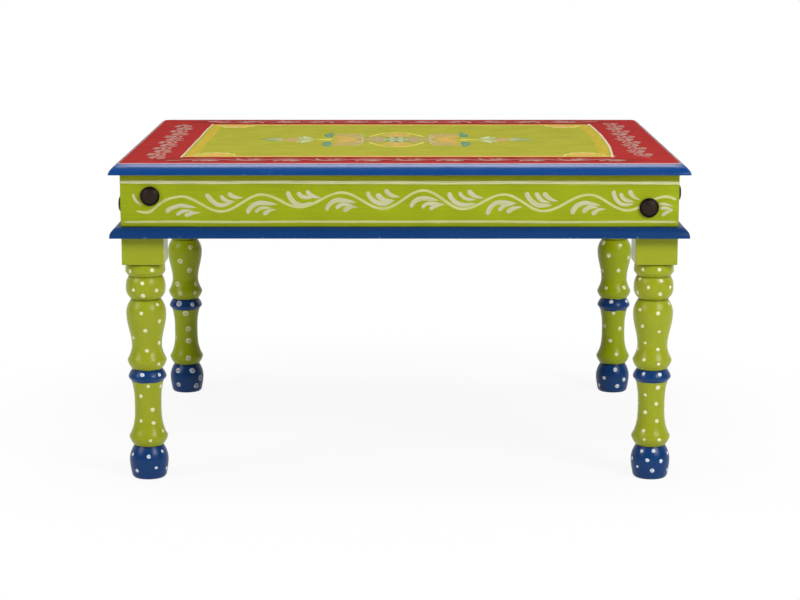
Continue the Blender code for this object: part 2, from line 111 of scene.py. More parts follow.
# Turned part of a leg from the floor up, in mm: height of each curve, diameter at its upper
# end, which of its ends stands upright, and how fast it leaves that end.
SOLE_DIAMETER = 44
LEG_TURNINGS = (
    (5, 49.5, "upper", 2),
    (20, 55, "upper", 1.6),
    (21.5, 41, "lower", 2),
    (13.5, 54.5, "upper", 1.7),
    (45.7125, 37.5, "upper", 3.3),
    (33.7875, 45.5, "lower", 2.5),
    (5.5, 53.5, "upper", 1.2),
    (11.5, 42, "lower", 1.7),
    (13.5, 55, "upper", 1.7),
    (19.5, 42, "upper", 1.65),
    (46.5, 56, "both", 2),
    (20.5, 41, "lower", 2.1),
    (16.5, 55.5, "upper", 2.6),
    (16.5, 46.5, "lower", 2.5),
    (6.5, 55.8, "upper", 1.3),
    (12, 54, "lower", 2),
)
# Numbers of the curves that are painted blue: the foot and the ring.
BLUE_TURNINGS = (0, 1, 2, 6, 7)

# The vine on the front apron, in mm along it and over the floor: its rise from the left, and the
# turns between which it swings.
VINE_RISE = ((-364, 384), (-349, 381.7), (-340, 385.7), (-331, 393.9), (-318, 401), (-302, 404.2))
VINE_TURNS = (
    (-302, 404.2), (-246, 383.3), (-189.5, 406.8), (-138, 389.2), (-80, 409.5), (-23.5, 387.2),
    (33, 412.4), (87, 386.7), (144, 406.9), (198, 383.6), (260.5, 406.4), (314, 384.8),
    (367, 404), (390, 397.5),
)
# Its leaves: width of each stroke, and the points that it passes from where the brush lands.
VINE_LEAVES = (
    (3.5, (-367.5, 408), (-366, 402.5), (-362, 396.5), (-354, 391.5)),
    (6.1, (-322, 381.5), (-317, 386.7), (-303, 391.3), (-291, 390.1), (-281, 388.7)),
    (5.4, (-308, 378), (-303.5, 381.5), (-297, 383.9), (-284, 383.7)),
    (6.4, (-297, 377.5), (-290, 379.3), (-284, 381.1), (-275, 381.9)),
    (6.6, (-267, 408), (-261, 400.5), (-253.5, 394.1), (-245, 391.9), (-231, 395.1)),
    (5.9, (-247, 405.5), (-242.5, 400.5), (-237, 397.5), (-227, 396.9)),
    (6.4, (-236.5, 409.1), (-231, 404.9), (-225, 402.8), (-215.5, 402.3)),
    (6.4, (-210, 380), (-207.5, 386.5), (-201.5, 392.1), (-193, 395.2), (-184, 394.8),
     (-169, 392.9)),
    (5.4, (-199, 381.5), (-195, 385.9), (-188.5, 388.5), (-177, 387.7)),
    (6.4, (-188.5, 378.8), (-183.5, 382.1), (-178, 385.1), (-170, 385.9)),
    (6.4, (-154.5, 411.5), (-152, 404.5), (-147, 397.1), (-140, 392.7), (-132, 391.9),
     (-120, 396.5)),
    (5.9, (-140.5, 410.5), (-137, 405.9), (-131.5, 403.1), (-118, 402.5)),
    (6.1, (-128.5, 412.5), (-124, 407.5), (-118, 404.1), (-108, 402.1)),
    (6.1, (-100.7, 384.3), (-98.7, 390.5), (-93, 396.3), (-86, 399.1), (-77, 398.7), (-60, 395.7)),
    (5.7, (-87.7, 386.9), (-84, 390.9), (-78, 393.3), (-64, 392.1)),
    (6.1, (-77.7, 383.1), (-73.5, 386.5), (-67, 389.4), (-58, 389.1)),
    (6.6, (-43.8, 411.5), (-42.4, 405.5), (-37, 399.1), (-29.5, 395), (-20, 394), (-7, 398.5)),
    (7.8, (-31.4, 408.3), (-27.5, 403.3), (-21, 399.1), (-9, 398.9)),
    (7.6, (-20.2, 414), (-16, 408.8), (-9.5, 405), (0.5, 403.3)),
    (5.9, (16.2, 388.1), (17, 392.9), (21.5, 397.9), (28, 400.9), (37, 401.4), (54, 398.3)),
    (5.2, (31, 387.5), (34, 391.5), (40.5, 394.3), (61, 393.5)),
    (5.7, (41.7, 385.7), (45.5, 389.2), (52, 391.5), (62, 393.2)),
    (6.8, (68, 410.3), (69.6, 404.3), (75, 397.5), (81.5, 393.8), (90, 392.3), (104, 394.5)),
    (5.9, (81.8, 410.3), (86.2, 404.5), (92.5, 400.7), (105, 399.5)),
    (8.3, (93.6, 412.8), (98.7, 408.1), (105, 403.9), (116, 401.5)),
    (6.8, (121.2, 378.1), (123, 385.1), (127.8, 391.7), (135, 395.5), (147, 395.5), (161, 394.5)),
    (6.1, (136.7, 383.7), (140.5, 388.5), (147, 392.1), (158, 393.1)),
    (6.6, (148, 381.3), (152.5, 385.1), (158.5, 388.2), (169, 389.8)),
    (7.1, (174.8, 410.5), (176.8, 403.9), (182.5, 397), (190, 392.6), (199, 391.3), (210, 392.1)),
    (6.4, (187.4, 409.7), (192, 402.5), (198, 397.5), (208, 395.1)),
    (7.3, (198, 409.7), (203.7, 403.3), (210, 399.5), (218.5, 397.3)),
    (6.8, (237.3, 379.3), (240.5, 386.5), (246, 391.9), (255, 395.1), (265, 393.5), (277, 391.9)),
    (5.9, (252.4, 381.3), (256.5, 385.9), (263, 389.1), (274, 388.7)),
    (6.6, (265, 378.9), (270, 382.7), (275, 385.7), (284, 386.5)),
    (6.1, (295, 412.8), (295.6, 406.5), (298.8, 399.5), (305, 394), (312.5, 392.5), (323, 394.1)),
    (5.9, (304.3, 409.1), (307, 403.2), (312.5, 398.9), (324, 396.3)),
    (6.8, (316.2, 412.8), (319.5, 406.9), (324, 402.5), (331, 399.5)),
    (4.0, (357.5, 393.8), (366, 393.5), (377, 390.5)),
    (5.4, (359, 387.3), (366, 388.1), (377.5, 385.7)),
    (5.9, (361.8, 376.9), (367.5, 381.5), (378, 385.5)),
)
# Leaf strokes of a cluster on the top's border, in mm from the turn of its vine.
LEAVES_UNDER_CREST = (
    ((-20, -25), (-12.5, -14), (1, -9.5), (19, -13)),
    ((-7.5, -25), (2, -19), (16, -16.5)),
    ((3, -27), (10, -23), (20, -19.5)),
)
LEAVES_OVER_TROUGH = (
    ((-18, 23.5), (-13, 10), (-2, 4.5), (17, 8)),
    ((-2, 21), (5, 14), (17, 10.5)),
    ((9, 24.5), (15.5, 18), (27, 14.5)),
)

# Painted field of the top, from the middle: its ends, and its front and back edges.
FIELD_END = 306 * MM
FIELD_EDGE = 238 * MM


def linear(code):
    """Linear RGB of an sRGB hex colour."""
    channels = [int(code[i:i + 2], 16) / 255 for i in (1, 3, 5)]
    return tuple(c / 12.92 if c <= 0.04045 else ((c + 0.055) / 1.055) ** 2.4 for c in channels)


def length(name, description, default):
    """A size in metres that a user may change."""
    return bpy.props.FloatProperty(
        name=name, description=description, default=default, min=0.0, precision=5, unit="LENGTH",
    )


def colour(name, description, code):
    """A colour that a user may change."""
    return bpy.props.FloatVectorProperty(
        name=name, description=description, default=linear(code), min=0.0, max=1.0,
        subtype="COLOR",
    )


class TableSizes(bpy.types.PropertyGroup):
    """Sizes of the paint work and of the softened edges."""

    edge_radius: length("Edge radius", "Rounding of the boards' long edges", 0.0012)
    corner_radius: length("Corner radius", "Rounding of the top's corners seen from above", 0.003)
    stroke_height: length("Stroke height", "Thickness of a brush stroke at its crest", 0.0003)
    upper_line: length("Upper line", "Width of the line along the apron's upper edge", 0.0046)
    lower_line: length("Lower line", "Width of the line along the apron's lower edge", 0.0034)
    vine_width: length("Vine", "Width of the vine's stem", 0.0037)
    leaf_width: length("Leaf", "Width of a leaf stroke where the brush lands", 0.0056)
    rim_line: length("Rim line", "Width of the pink lines along the top's front and back", 0.0042)
    end_line: length("End line", "Width of the beige lines along the top's ends", 0.0022)
    field_line: length("Field line", "Width of the ivory lines at the field's ends", 0.0025)
    gold_line: length("Gold line", "Width of the gold lines along the field", 0.015)
    brown_line: length("Brown line", "Width of the dark lines outside the gold", 0.006)
    dot_diameter: length("Dot", "Diameter of a dot on the legs", 0.0056)
    dot_height: length("Dot height", "Thickness of a dot at its crest", 0.0006)


class TableColours(bpy.types.PropertyGroup):
    """Colours of paint, wood and metal."""

    green: colour("Green", "Enamel of the aprons", "#98A512")
    leg_green: colour("Leg green", "Enamel of the front legs", "#9AA31E")
    # The back legs have the front legs' enamel, tinted greener as painted shade for the dim light
    # under the table.
    back_green: colour("Back green", "Enamel of the back legs", "#98A80E")
    field_green: colour("Field green", "Enamel of the top's field", "#A9A83E")
    blue: colour("Blue", "Enamel of the mouldings, rings and feet", "#0D3A71")
    # The top's edge has the mouldings' blue enamel, made lighter as painted light from above.
    edge_blue: colour("Edge blue", "Enamel of the top's edge", "#0B407F")
    red: colour("Red", "Enamel of the top's border", "#AA3735")
    dark_red: colour("Dark red", "Wash on the top's front and back bands", "#8C332F")
    cream: colour("Cream", "Lines and vines on green", "#C9CD8C")
    chalk: colour("Chalk", "Leaves on green", "#C9C7A1")
    white: colour("White", "Dots on green, and fine marks of the flowers", "#EFEDC8")
    ivory: colour("Ivory", "Lines at the field's ends, and marks of the medallion", "#DCCBB2")
    # The upper line has the cream paint, made paler as painted light where the top's shadow falls
    # on it.
    pale_cream: colour("Pale cream", "Line along the aprons' upper edge", "#DDE0AA")
    cool_white: colour("Cool white", "Dots on blue", "#E2EAF2")
    # Pale pink is partly a painted reflection: the white backdrop mirrored on the top's red arris.
    pale_pink: colour("Pale pink", "Lines along the top's front and back", "#B99BA6")
    blush: colour("Blush", "Vines, leaves and end lines on red", "#B0958A")
    yellow: colour("Yellow", "Bands and fans of the field", "#C5AC3D")
    lemon: colour("Lemon", "Outlines of the medallion", "#D6D062")
    gold: colour("Gold", "Lines along the field, dabs and petals", "#D9AA66")
    brown: colour("Brown", "Dark lines outside the gold", "#7E4426")
    peach: colour("Peach", "Petals of the medallion", "#CAA95C")
    sand: colour("Sand", "Side petals of the medallion", "#B9A368")
    rose: colour("Rose", "Buds of the medallion", "#C2A074")
    mauve: colour("Mauve", "Scrolls of the medallion", "#B69C84")
    teal: colour("Teal", "Drops of the medallion", "#64917A")
    mist: colour("Mist", "Pale leaves of the medallion", "#B3BF90")
    iron: colour("Iron", "Bolts", "#100C09")
    # The disc in the middle of a bolt's head is a lighter copy of the iron, as painted light on its
    # face against the darker rim.
    rubbed_iron: colour("Rubbed iron", "Middle of the bolts' heads", "#2C201B")
    zinc: colour("Zinc", "Washers, nuts and screws", "#A9ABA8")
    wood: colour("Wood", "Bare wood of the underside", "#B08655")


def sizes():
    """The table's sizes as the user has set them."""
    return bpy.context.scene.painted_table_sizes


def colours():
    """The table's colours as the user has set them."""
    return bpy.context.scene.painted_table_colours


# Materials

# Inputs and output of a Mix node that mixes colours.
MIX_SHARE, MIX_FIRST, MIX_SECOND, MIX_COLOUR = 0, 6, 7, 2
# A noise texture stays mostly within these values.
NOISE_LOW, NOISE_HIGH = 0.33, 0.67

# Directions of the brush. Streaks are drawn out along a direction by shrinking it.
DRAWN_OUT = 0.02
ALONG_X = (DRAWN_OUT, 1.0, 1.0)
ALONG_Y = (1.0, DRAWN_OUT, 1.0)
ROUND_Z = (0.12, 0.12, 1.0)
BRUSH_LABELS = {ALONG_X: "along X", ALONG_Y: "along Y", ROUND_Z: "turned"}
BRUSH_OF_SIDE = {"front": ALONG_X, "right": ALONG_Y, "back": ALONG_X, "left": ALONG_Y}

# Enamel: spacing of brush marks, clouds of thicker paint, dust that dried in, and chips.
BRUSH_MARK = 2.2 * MM
CLOUD = 45 * MM
DUST = 1.6 * MM
CHIP = 5 * MM
# What shows where enamel has chipped, how much of it, and the noise at which a chip starts and is
# whole.
PRIMER = "#A9A68A"
CHIP_SHARE = 0.45
CHIP_EDGE = (0.60, 0.66)
# Colour of the painted shade in a crevice, with some dirt, and under a leg's square block, and the
# most of it.
SHADE_AND_DIRT = "#1E1A0C"
SHADE_AND_DIRT_SHARE = 0.62
# Height of dust beside brush marks, and the bump's strength for the colour change of a finish.
DUST_HEIGHT = 0.35
BUMP_OF_STREAK = 3.5
# Finishes: least and most roughness, specular level, and how much brush marks change the colour.
# The top's edge and the legs shine, and the top is dull.
LEG_FINISH = (0.28, 0.32, 0.22, 0.004)
EDGE_FINISH = (0.18, 0.28, 0.50, 0.06)
STRIP_FINISH = (0.40, 0.52, 0.12, 0.06)
BOARD_FINISH = (0.42, 0.55, 0.15, 0.10)
TOP_FINISH = (0.55, 0.70, 0.0, 0.10)
# Thin paint: streak of a brush hair, how far it runs, how much of the ground its gaps show, and the
# noise at which a gap starts and is whole.
HAIR = 0.9 * MM
HAIR_RUN = 28 * MM
GAP_SHARE = 0.62
GAP_EDGE = (0.47, 0.74)
# Metal and wood: forging marks, zinc flowers, growth rings, and marks of the saw.
FORGE_MARK = 3 * MM
ZINC_FLOWER = 1.5 * MM
GROWTH_RING = 4 * MM
SAW_MARK = 1.2 * MM
# Their two shades, as factors of the colour, and least and most roughness.
IRON_SHADES = (0.6, 1.5)
IRON_ROUGHNESS = (0.38, 0.55)
ZINC_SHADES = (1.1, 0.7)
ZINC_ROUGHNESS = (0.28, 0.45)
WOOD_SHADES = (0.55, 1.15)


def add_node(tree, kind, inputs, out=0, **options):
    """Adds a shader node, sets its options, sets or links its inputs, and gives an output."""
    node = tree.nodes.new(f"ShaderNode{kind}")
    for name, value in options.items():
        setattr(node, name, value)
    for name, value in inputs.items():
        if isinstance(value, bpy.types.NodeSocket):
            tree.links.new(value, node.inputs[name])
        else:
            node.inputs[name].default_value = value
    return node.outputs[out] if node.outputs else None


def add_surface(tree, relief, strength, depth, inputs):
    """Ends a material with its shader, over a relief of a strength and depth."""
    bump = add_node(tree, "Bump", {"Strength": strength, "Distance": depth, "Height": relief})
    surface = add_node(tree, "BsdfPrincipled", {**inputs, "Normal": bump})
    add_node(tree, "OutputMaterial", {"Surface": surface})


def opaque(rgb, shade=1.0):
    """RGBA of a colour, made darker or lighter by a factor."""
    return (*(min(1.0, c * shade) for c in rgb), 1.0)


def empty_material(name):
    """A new material without nodes, and its node tree."""
    material = bpy.data.materials.new(name)
    material.use_nodes = True
    material.node_tree.nodes.clear()
    return material, material.node_tree


def finish(name, make, *details):
    """The material of that name, made when it is first asked for."""
    return bpy.data.materials.get(name) or make(name, *details)


def brushed_enamel(name, rgb, brush, gloss):
    """Enamel, brushed by hand on wood: long brush marks, clouds of thicker paint, dust that dried
    in, and pale primer where an edge has been knocked. Below zero, the wear attribute gives
    painted shade in a crevice, with some dirt, and under a leg's square block."""
    smooth, rough, specular, streak = gloss
    material, tree = empty_material(name)
    where = add_node(tree, "TexCoord", {}, "Object")
    drawn = add_node(tree, "Mapping", {"Vector": where, "Scale": brush})
    marks = add_node(tree, "TexNoise", {"Vector": drawn, "Scale": 1 / BRUSH_MARK, "Detail": 3.0})
    clouds = add_node(tree, "TexNoise", {"Vector": where, "Scale": 1 / CLOUD, "Detail": 3.0})
    dust = add_node(tree, "TexNoise", {"Vector": where, "Scale": 1 / DUST, "Detail": 2.0})
    tone = add_node(tree, "Math", {0: marks, 1: clouds}, operation="ADD")
    spread = {"Value": tone, "From Min": 2 * NOISE_LOW, "From Max": 2 * NOISE_HIGH}
    coat = add_node(tree, "Mix", {
        MIX_SHARE: add_node(tree, "MapRange", spread),
        MIX_FIRST: opaque(rgb, 1 - streak), MIX_SECOND: opaque(rgb, 1 + streak),
    }, MIX_COLOUR, data_type="RGBA")
    chips = add_node(tree, "TexNoise", {
        "Vector": where, "Scale": 1 / CHIP, "Detail": 5.0, "Roughness": 0.65,
    })
    bare = add_node(tree, "MapRange", {
        "Value": chips, "From Min": CHIP_EDGE[0], "From Max": CHIP_EDGE[1], "To Max": CHIP_SHARE,
    })
    wear = add_node(tree, "Attribute", {}, "Fac", attribute_name="wear")
    worn = add_node(tree, "Math", {0: bare, 1: wear}, operation="MULTIPLY")
    # Below zero the wear attribute darkens the coat: painted shade, with some dirt, in crevices and
    # under the legs' blocks.
    shade_and_dirt = add_node(tree, "MapRange", {
        "Value": wear, "From Min": 0.0, "From Max": -1.0, "To Max": SHADE_AND_DIRT_SHARE,
    })
    shown = coat
    for share, under in ((worn, PRIMER), (shade_and_dirt, SHADE_AND_DIRT)):
        shown = add_node(tree, "Mix", {
            MIX_SHARE: share, MIX_FIRST: shown, MIX_SECOND: opaque(linear(under)),
        }, MIX_COLOUR, data_type="RGBA")
    roughness = add_node(tree, "MapRange", {**spread, "To Min": smooth, "To Max": rough})
    relief = add_node(tree, "Math", {0: dust, 1: DUST_HEIGHT, 2: marks}, operation="MULTIPLY_ADD")
    add_surface(tree, relief, BUMP_OF_STREAK * streak, 0.25 * MM, {
        "Base Color": shown, "Roughness": roughness, "Specular IOR Level": specular,
    })
    return material


def thin_brush_paint(name, rgb, ground):
    """Thin paint laid in one stroke over enamel: the hairs of the brush leave streaks, and the
    ground shows between them."""
    material, tree = empty_material(name)
    stroke = add_node(tree, "Attribute", {}, "Vector", attribute_name="stroke")
    drawn = add_node(tree, "Mapping", {"Vector": stroke, "Scale": (1 / HAIR_RUN, 1 / HAIR, 1.0)})
    hairs = add_node(tree, "TexNoise", {"Vector": drawn, "Scale": 1.0, "Detail": 3.0})
    wear = add_node(tree, "Attribute", {}, "Fac", attribute_name="wear")
    thin = add_node(tree, "Math", {0: hairs, 1: wear}, operation="ADD")
    gaps = add_node(tree, "MapRange", {
        "Value": thin, "From Min": GAP_EDGE[0], "From Max": GAP_EDGE[1], "To Max": GAP_SHARE,
    })
    shown = add_node(tree, "Mix", {
        MIX_SHARE: gaps, MIX_FIRST: opaque(rgb), MIX_SECOND: opaque(ground),
    }, MIX_COLOUR, data_type="RGBA")
    add_surface(tree, hairs, 0.4, 0.2 * MM, {
        "Base Color": shown, "Roughness": 0.6, "Specular IOR Level": 0.0,
    })
    return material


def blackened_iron(name, rgb):
    """Forged iron, blackened in oil: nearly black, with a brown cast and soft hammer marks."""
    material, tree = empty_material(name)
    where = add_node(tree, "TexCoord", {}, "Object")
    marks = add_node(tree, "TexNoise", {"Vector": where, "Scale": 1 / FORGE_MARK, "Detail": 5.0})
    tint = add_node(tree, "Mix", {
        MIX_SHARE: marks,
        MIX_FIRST: opaque(rgb, IRON_SHADES[0]), MIX_SECOND: opaque(rgb, IRON_SHADES[1]),
    }, MIX_COLOUR, data_type="RGBA")
    gloss = add_node(tree, "MapRange", {
        "Value": marks, "From Min": NOISE_LOW, "From Max": NOISE_HIGH,
        "To Min": IRON_ROUGHNESS[0], "To Max": IRON_ROUGHNESS[1],
    })
    add_surface(tree, marks, 0.5, 0.2 * MM, {
        "Base Color": tint, "Roughness": gloss, "Metallic": 0.2, "Specular IOR Level": 0.15,
    })
    return material


def zinc_plate(name, rgb):
    """Bright zinc on steel: grey flowers of unlike brightness."""
    material, tree = empty_material(name)
    where = add_node(tree, "TexCoord", {}, "Object")
    flowers = add_node(tree, "TexVoronoi", {"Vector": where, "Scale": 1 / ZINC_FLOWER}, "Distance")
    tint = add_node(tree, "Mix", {
        MIX_SHARE: flowers,
        MIX_FIRST: opaque(rgb, ZINC_SHADES[0]), MIX_SECOND: opaque(rgb, ZINC_SHADES[1]),
    }, MIX_COLOUR, data_type="RGBA")
    gloss = add_node(tree, "MapRange", {
        "Value": flowers, "To Min": ZINC_ROUGHNESS[0], "To Max": ZINC_ROUGHNESS[1],
    })
    add_surface(tree, flowers, 0.2, 0.05 * MM, {
        "Base Color": tint, "Roughness": gloss, "Metallic": 1.0,
    })
    return material


def sawn_wood(name, rgb, brush):
    """Mango wood as it left the saw: long grain, darker growth rings, and saw marks across."""
    material, tree = empty_material(name)
    where = add_node(tree, "TexCoord", {}, "Object")
    drawn = add_node(tree, "Mapping", {"Vector": where, "Scale": brush})
    rings = add_node(tree, "TexNoise", {
        "Vector": drawn, "Scale": 1 / GROWTH_RING, "Detail": 6.0, "Roughness": 0.6,
    })
    share = add_node(tree, "MapRange", {
        "Value": rings, "From Min": NOISE_LOW, "From Max": NOISE_HIGH,
    })
    tint = add_node(tree, "Mix", {
        MIX_SHARE: share,
        MIX_FIRST: opaque(rgb, WOOD_SHADES[0]), MIX_SECOND: opaque(rgb, WOOD_SHADES[1]),
    }, MIX_COLOUR, data_type="RGBA")
    saw = add_node(tree, "TexNoise", {"Vector": where, "Scale": 1 / SAW_MARK, "Detail": 2.0})
    relief = add_node(tree, "Math", {0: saw, 1: rings}, operation="ADD")
    add_surface(tree, relief, 0.5, 0.3 * MM, {
        "Base Color": tint, "Roughness": 0.75, "Specular IOR Level": 0.25,
    })
    return material


def side_enamel(paint, brush):
    """Enamel of a named colour on the boards and legs, brushed in a direction."""
    gloss = {"edge_blue": EDGE_FINISH, "blue": STRIP_FINISH}.get(paint, BOARD_FINISH)
    if brush == ROUND_Z:
        gloss = LEG_FINISH
    name = f"{paint} brushed enamel {BRUSH_LABELS[brush]}"
    return finish(name, brushed_enamel, getattr(colours(), paint), brush, gloss)


def top_enamel(paint):
    """Flat enamel of a named colour on the top."""
    name = f"{paint} flat enamel"
    return finish(name, brushed_enamel, getattr(colours(), paint), ALONG_X, TOP_FINISH)


def bare_wood(brush):
    """Bare wood with its grain in a direction."""
    return finish(f"sawn mango wood {BRUSH_LABELS[brush]}", sawn_wood, colours().wood, brush)


def stroke_paints(*pairs):
    """Thin paints, each of a named colour over a named ground."""
    return [
        finish(
            f"{paint} brush paint on {ground}", thin_brush_paint,
            getattr(colours(), paint), getattr(colours(), ground),
        )
        for paint, ground in pairs
    ]


# Meshes

# Strips: spacing of their sections, share of the half length where the ends begin, cut back of a
# mitre's tip, and length of their waves.
STRIP_STEP = 0.018
STRIP_END = 0.998
MITRE_BLUNT = 0.4 * MM
STRIP_WAVE = 0.09


class Shell:
    """Points and faces of one piece, gathered from closed lofts."""

    def __init__(self):
        self.points = []
        self.faces = []
        self.paints = []
        self.wear = []
        self.strokes = []

    def loft(self, rings, paint=0, wear=None, strokes=None):
        """Skins rings of equally many points, and closes both ends. paint is a material's
        number, or a function that gives it from a ring's number and a place round the ring."""
        first = len(self.points)
        count = len(rings[0])
        paint_of = paint if callable(paint) else lambda ring, step: paint
        for ring in rings:
            self.points.extend(ring)
        total = len(self.points) - first
        self.wear.extend(wear or [0.0] * total)
        self.strokes.extend(strokes or [(0.0, 0.0, 0.0)] * total)
        for ring in range(len(rings) - 1):
            start = first + ring * count
            for step in range(count):
                here = start + step
                beside = start + (step + 1) % count
                self.faces.append((here, beside, beside + count, here + count))
                self.paints.append(paint_of(ring, step))
        last = first + total - count
        self.faces.append(tuple(range(first + count - 1, first - 1, -1)))
        self.paints.append(paint_of(0, 0))
        self.faces.append(tuple(range(last, last + count)))
        self.paints.append(paint_of(len(rings) - 1, 0))


def add_piece(name, shell, materials, slot, *nodes):
    """Makes a piece of a shell. It rides on the table's one body and may replace CAD nodes."""
    mesh = bpy.data.meshes.new(name)
    mesh.from_pydata(shell.points, [], shell.faces)
    for material in materials:
        mesh.materials.append(material)
    mesh.polygons.foreach_set("material_index", shell.paints)
    wear = mesh.attributes.new("wear", "FLOAT", "POINT")
    wear.data.foreach_set("value", shell.wear)
    strokes = mesh.attributes.new("stroke", "FLOAT_VECTOR", "POINT")
    strokes.data.foreach_set("vector", [value for stroke in shell.strokes for value in stroke])
    gathered = bmesh.new()
    gathered.from_mesh(mesh)
    bmesh.ops.recalc_face_normals(gathered, faces=gathered.faces)
    gathered.to_mesh(mesh)
    gathered.free()
    mesh.polygons.foreach_set("use_smooth", [True] * len(mesh.polygons))
    mesh.set_sharp_from_angle(angle=SHARP_ANGLE)
    piece = bpy.data.objects.new(name, mesh)
    bpy.context.scene.collection.objects.link(piece)
    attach(piece, "root")
    if nodes:
        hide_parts(*nodes)


def hand_wobble(seed, run, wavelength):
    """Slow unevenness of a hand's work at a run along it, mostly within -0.5 and 0.5."""
    # The odd numbers stay clear of whole ones, at which the noise is always 0.
    return noise.noise(Vector((run / wavelength, seed * 7.31 + 0.37, 0.61)))


def side_turn(side):
    """Turn that brings a side's own frame to its place round the table."""
    return Matrix.Rotation(SIDES.index(side) * pi / 2, 3, "Z")


def side_reach(side):
    """Distance from the middle of the table to the outer face of a side's apron."""
    return APRON_HALF[SIDES[(SIDES.index(side) + 1) % len(SIDES)]]


def side_box(side, node):
    """Lowest and highest corner of a CAD node in a side's own frame."""
    corners = [side_turn(side).transposed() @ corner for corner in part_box(node)]
    return Vector(map(min, *corners)), Vector(map(max, *corners))


def rounded_outline(half_x, half_y, radius, long_steps=40, short_steps=30, back_radius=None):
    """Points of a rectangle with rounded corners, anticlockwise from its front right corner. Its
    two corners at the back may have a radius of their own."""
    corners = ((1, -1), (1, 1), (-1, 1), (-1, -1))
    radii = [back_radius if back_radius and y > 0 else radius for x, y in corners]
    centres = [Vector((x * (half_x - r), y * (half_y - r))) for (x, y), r in zip(corners, radii)]
    outline = []
    for quarter, centre in enumerate(centres):
        for step in range(CORNER_STEPS + 1):
            angle = (quarter - 1 + step / CORNER_STEPS) * pi / 2
            outline.append(centre + radii[quarter] * Vector((cos(angle), sin(angle))))
        start = outline[-1]
        onward = (quarter + 1) % len(centres)
        turned = Vector((cos(quarter * pi / 2), sin(quarter * pi / 2)))
        end = centres[onward] + radii[onward] * turned
        steps = short_steps if quarter % 2 == 0 else long_steps
        outline.extend(start.lerp(end, step / steps) for step in range(1, steps))
    return outline


def edge_profile(edge_round, power):
    """Curved edge over its lip: distance in from the lip, height, and wear."""
    profile = [(0.0, 0.0, 1.0), (0.0, EDGE_LIP, 1.0)]
    for step in range(1, EDGE_STEPS + 1):
        angle = step / EDGE_STEPS * pi / 2
        inset = edge_round * (1 - max(0.0, cos(angle)) ** (2 / power))
        profile.append((inset, EDGE_LIP + edge_round * sin(angle) ** (2 / power), 0.0))
    return profile


def add_strip(shell, side, section, paint, ends=None, uneven=0.0):
    """Adds a strip along a side. Its section is a closed outline of points: distance out from
    the apron's face, height, and wear. Its ends are mitred unless a half length is given."""
    half = APRON_HALF[side]
    reach = side_reach(side)
    turn = side_turn(side)
    count = max(2, ceil(2 * half / STRIP_STEP))
    middles = [STRIP_END * (2 * number / count - 1) for number in range(count + 1)]
    rings = []
    wear = []
    for share in (-1.0, *middles, 1.0):
        blunt = MITRE_BLUNT if abs(share) == 1.0 and ends is None else 0.0
        ring = []
        for number, (out, height, worn) in enumerate(section):
            along = share * (ends if ends is not None else half + out)
            seed = number % 3 + 5 * SIDES.index(side)
            give = uneven * hand_wobble(seed, along, STRIP_WAVE)
            place = Vector((along, -reach - out + (blunt if out > -MM else 0.0) + give, height))
            ring.append(turn @ place)
            wear.append(worn)
        rings.append(ring)
    shell.loft(rings, paint, wear)


def soft_section(out_low, out_high, low, high, radius, wear=1.0, support=4 * MM):
    """Rectangular section with rounded corners, and points near them where the wear fades."""
    section = []
    corners = ((out_high, low), (out_high, high), (out_low, high), (out_low, low))
    for quarter, (out, height) in enumerate(corners):
        middle_out = out + (radius if out == out_low else -radius)
        middle_height = height + (radius if height == low else -radius)
        for step, ahead in ((0, -support), (0, 0.0), (1, 0.0), (2, 0.0), (2, support)):
            angle = (quarter - 1 + step / 2) * pi / 2
            x = middle_out + radius * cos(angle) - ahead * sin(angle)
            z = middle_height + radius * sin(angle) + ahead * cos(angle)
            section.append((x, z, 0.0 if ahead else wear))
    return section


# Brush work

# A stroke's least width and height as shares of the full ones, and how blunt its two tips are.
TIP_SHARE = 0.07
TIP_HEIGHT = 0.45
LANDING_POWER = 0.5
LIFTING_POWER = 0.8
# Least and most height of the ridges that its hairs leave, and unevenness of its width.
RIDGES = (0.75, 1.15)
WIDTH_WOBBLE = 0.16
# Distance between the streaks of one stroke and the next, in the pattern of the paint.
STREAKS_APART = 3.7
# Depth to which paint is set into the surface, so that it has no open edge.
SINK = 0.12 * MM
# Section of a stroke: place across it, and height.
STROKE_SECTION = (
    (-0.5, 0.0), (-0.46, 0.5), (-0.31, 0.85), (-0.1, 1.0), (0.1, 0.95), (0.31, 0.9),
    (0.46, 0.5), (0.5, 0.0),
)
# Rings of a dot: share of its radius, and height. The first one is sunk.
DOT_RINGS = ((1.0, None), (0.93, 0.45), (0.72, 0.82), (0.42, 0.98), (0.12, 1.0))
DOT_STEPS = 14
DOT_WOBBLE = 0.28
# Spacing of points along leaves and lines, of the last point before a line's end, of a line's
# waves, and points from one turn of a vine to the next.
LEAF_STEP = 1.6 * MM
LINE_STEP = 0.006
LINE_END = 0.3 * MM
LINE_WAVE = 0.12
SWING_STEPS = 14
# How far a leaf and its points stray, in mm along and across, and least and most of its breadth.
LEAF_STRAY = (1.5, 1.0)
POINT_STRAY = (0.7, 0.6)
LEAF_BREADTH = (0.80, 1.05)
# A seed for each kind of stroke. Strokes of a kind take seeds next to it.
SEEDS = {
    "dab_place": 11, "rim_path": 40, "rim": 60, "ivory": 70, "gold": 80, "brown": 85, "band": 90,
    "apron": 100, "border": 300, "dab": 400, "outer_petal": 500, "inner_petal": 520, "arch": 540,
    "medallion": 600,
}
# Lengths over which a stroke swells and thins, in widths.
LINE_TIPS = (0.5, 0.5)
END_TIPS = (0.05, 0.05)
LEAF_TIPS = (0.6, 3.4)
PETAL_TIPS = (1.1, 1.2)
DROP_TIPS = (0.5, 2.2)
BLOB_TIPS = (0.9, 0.9)


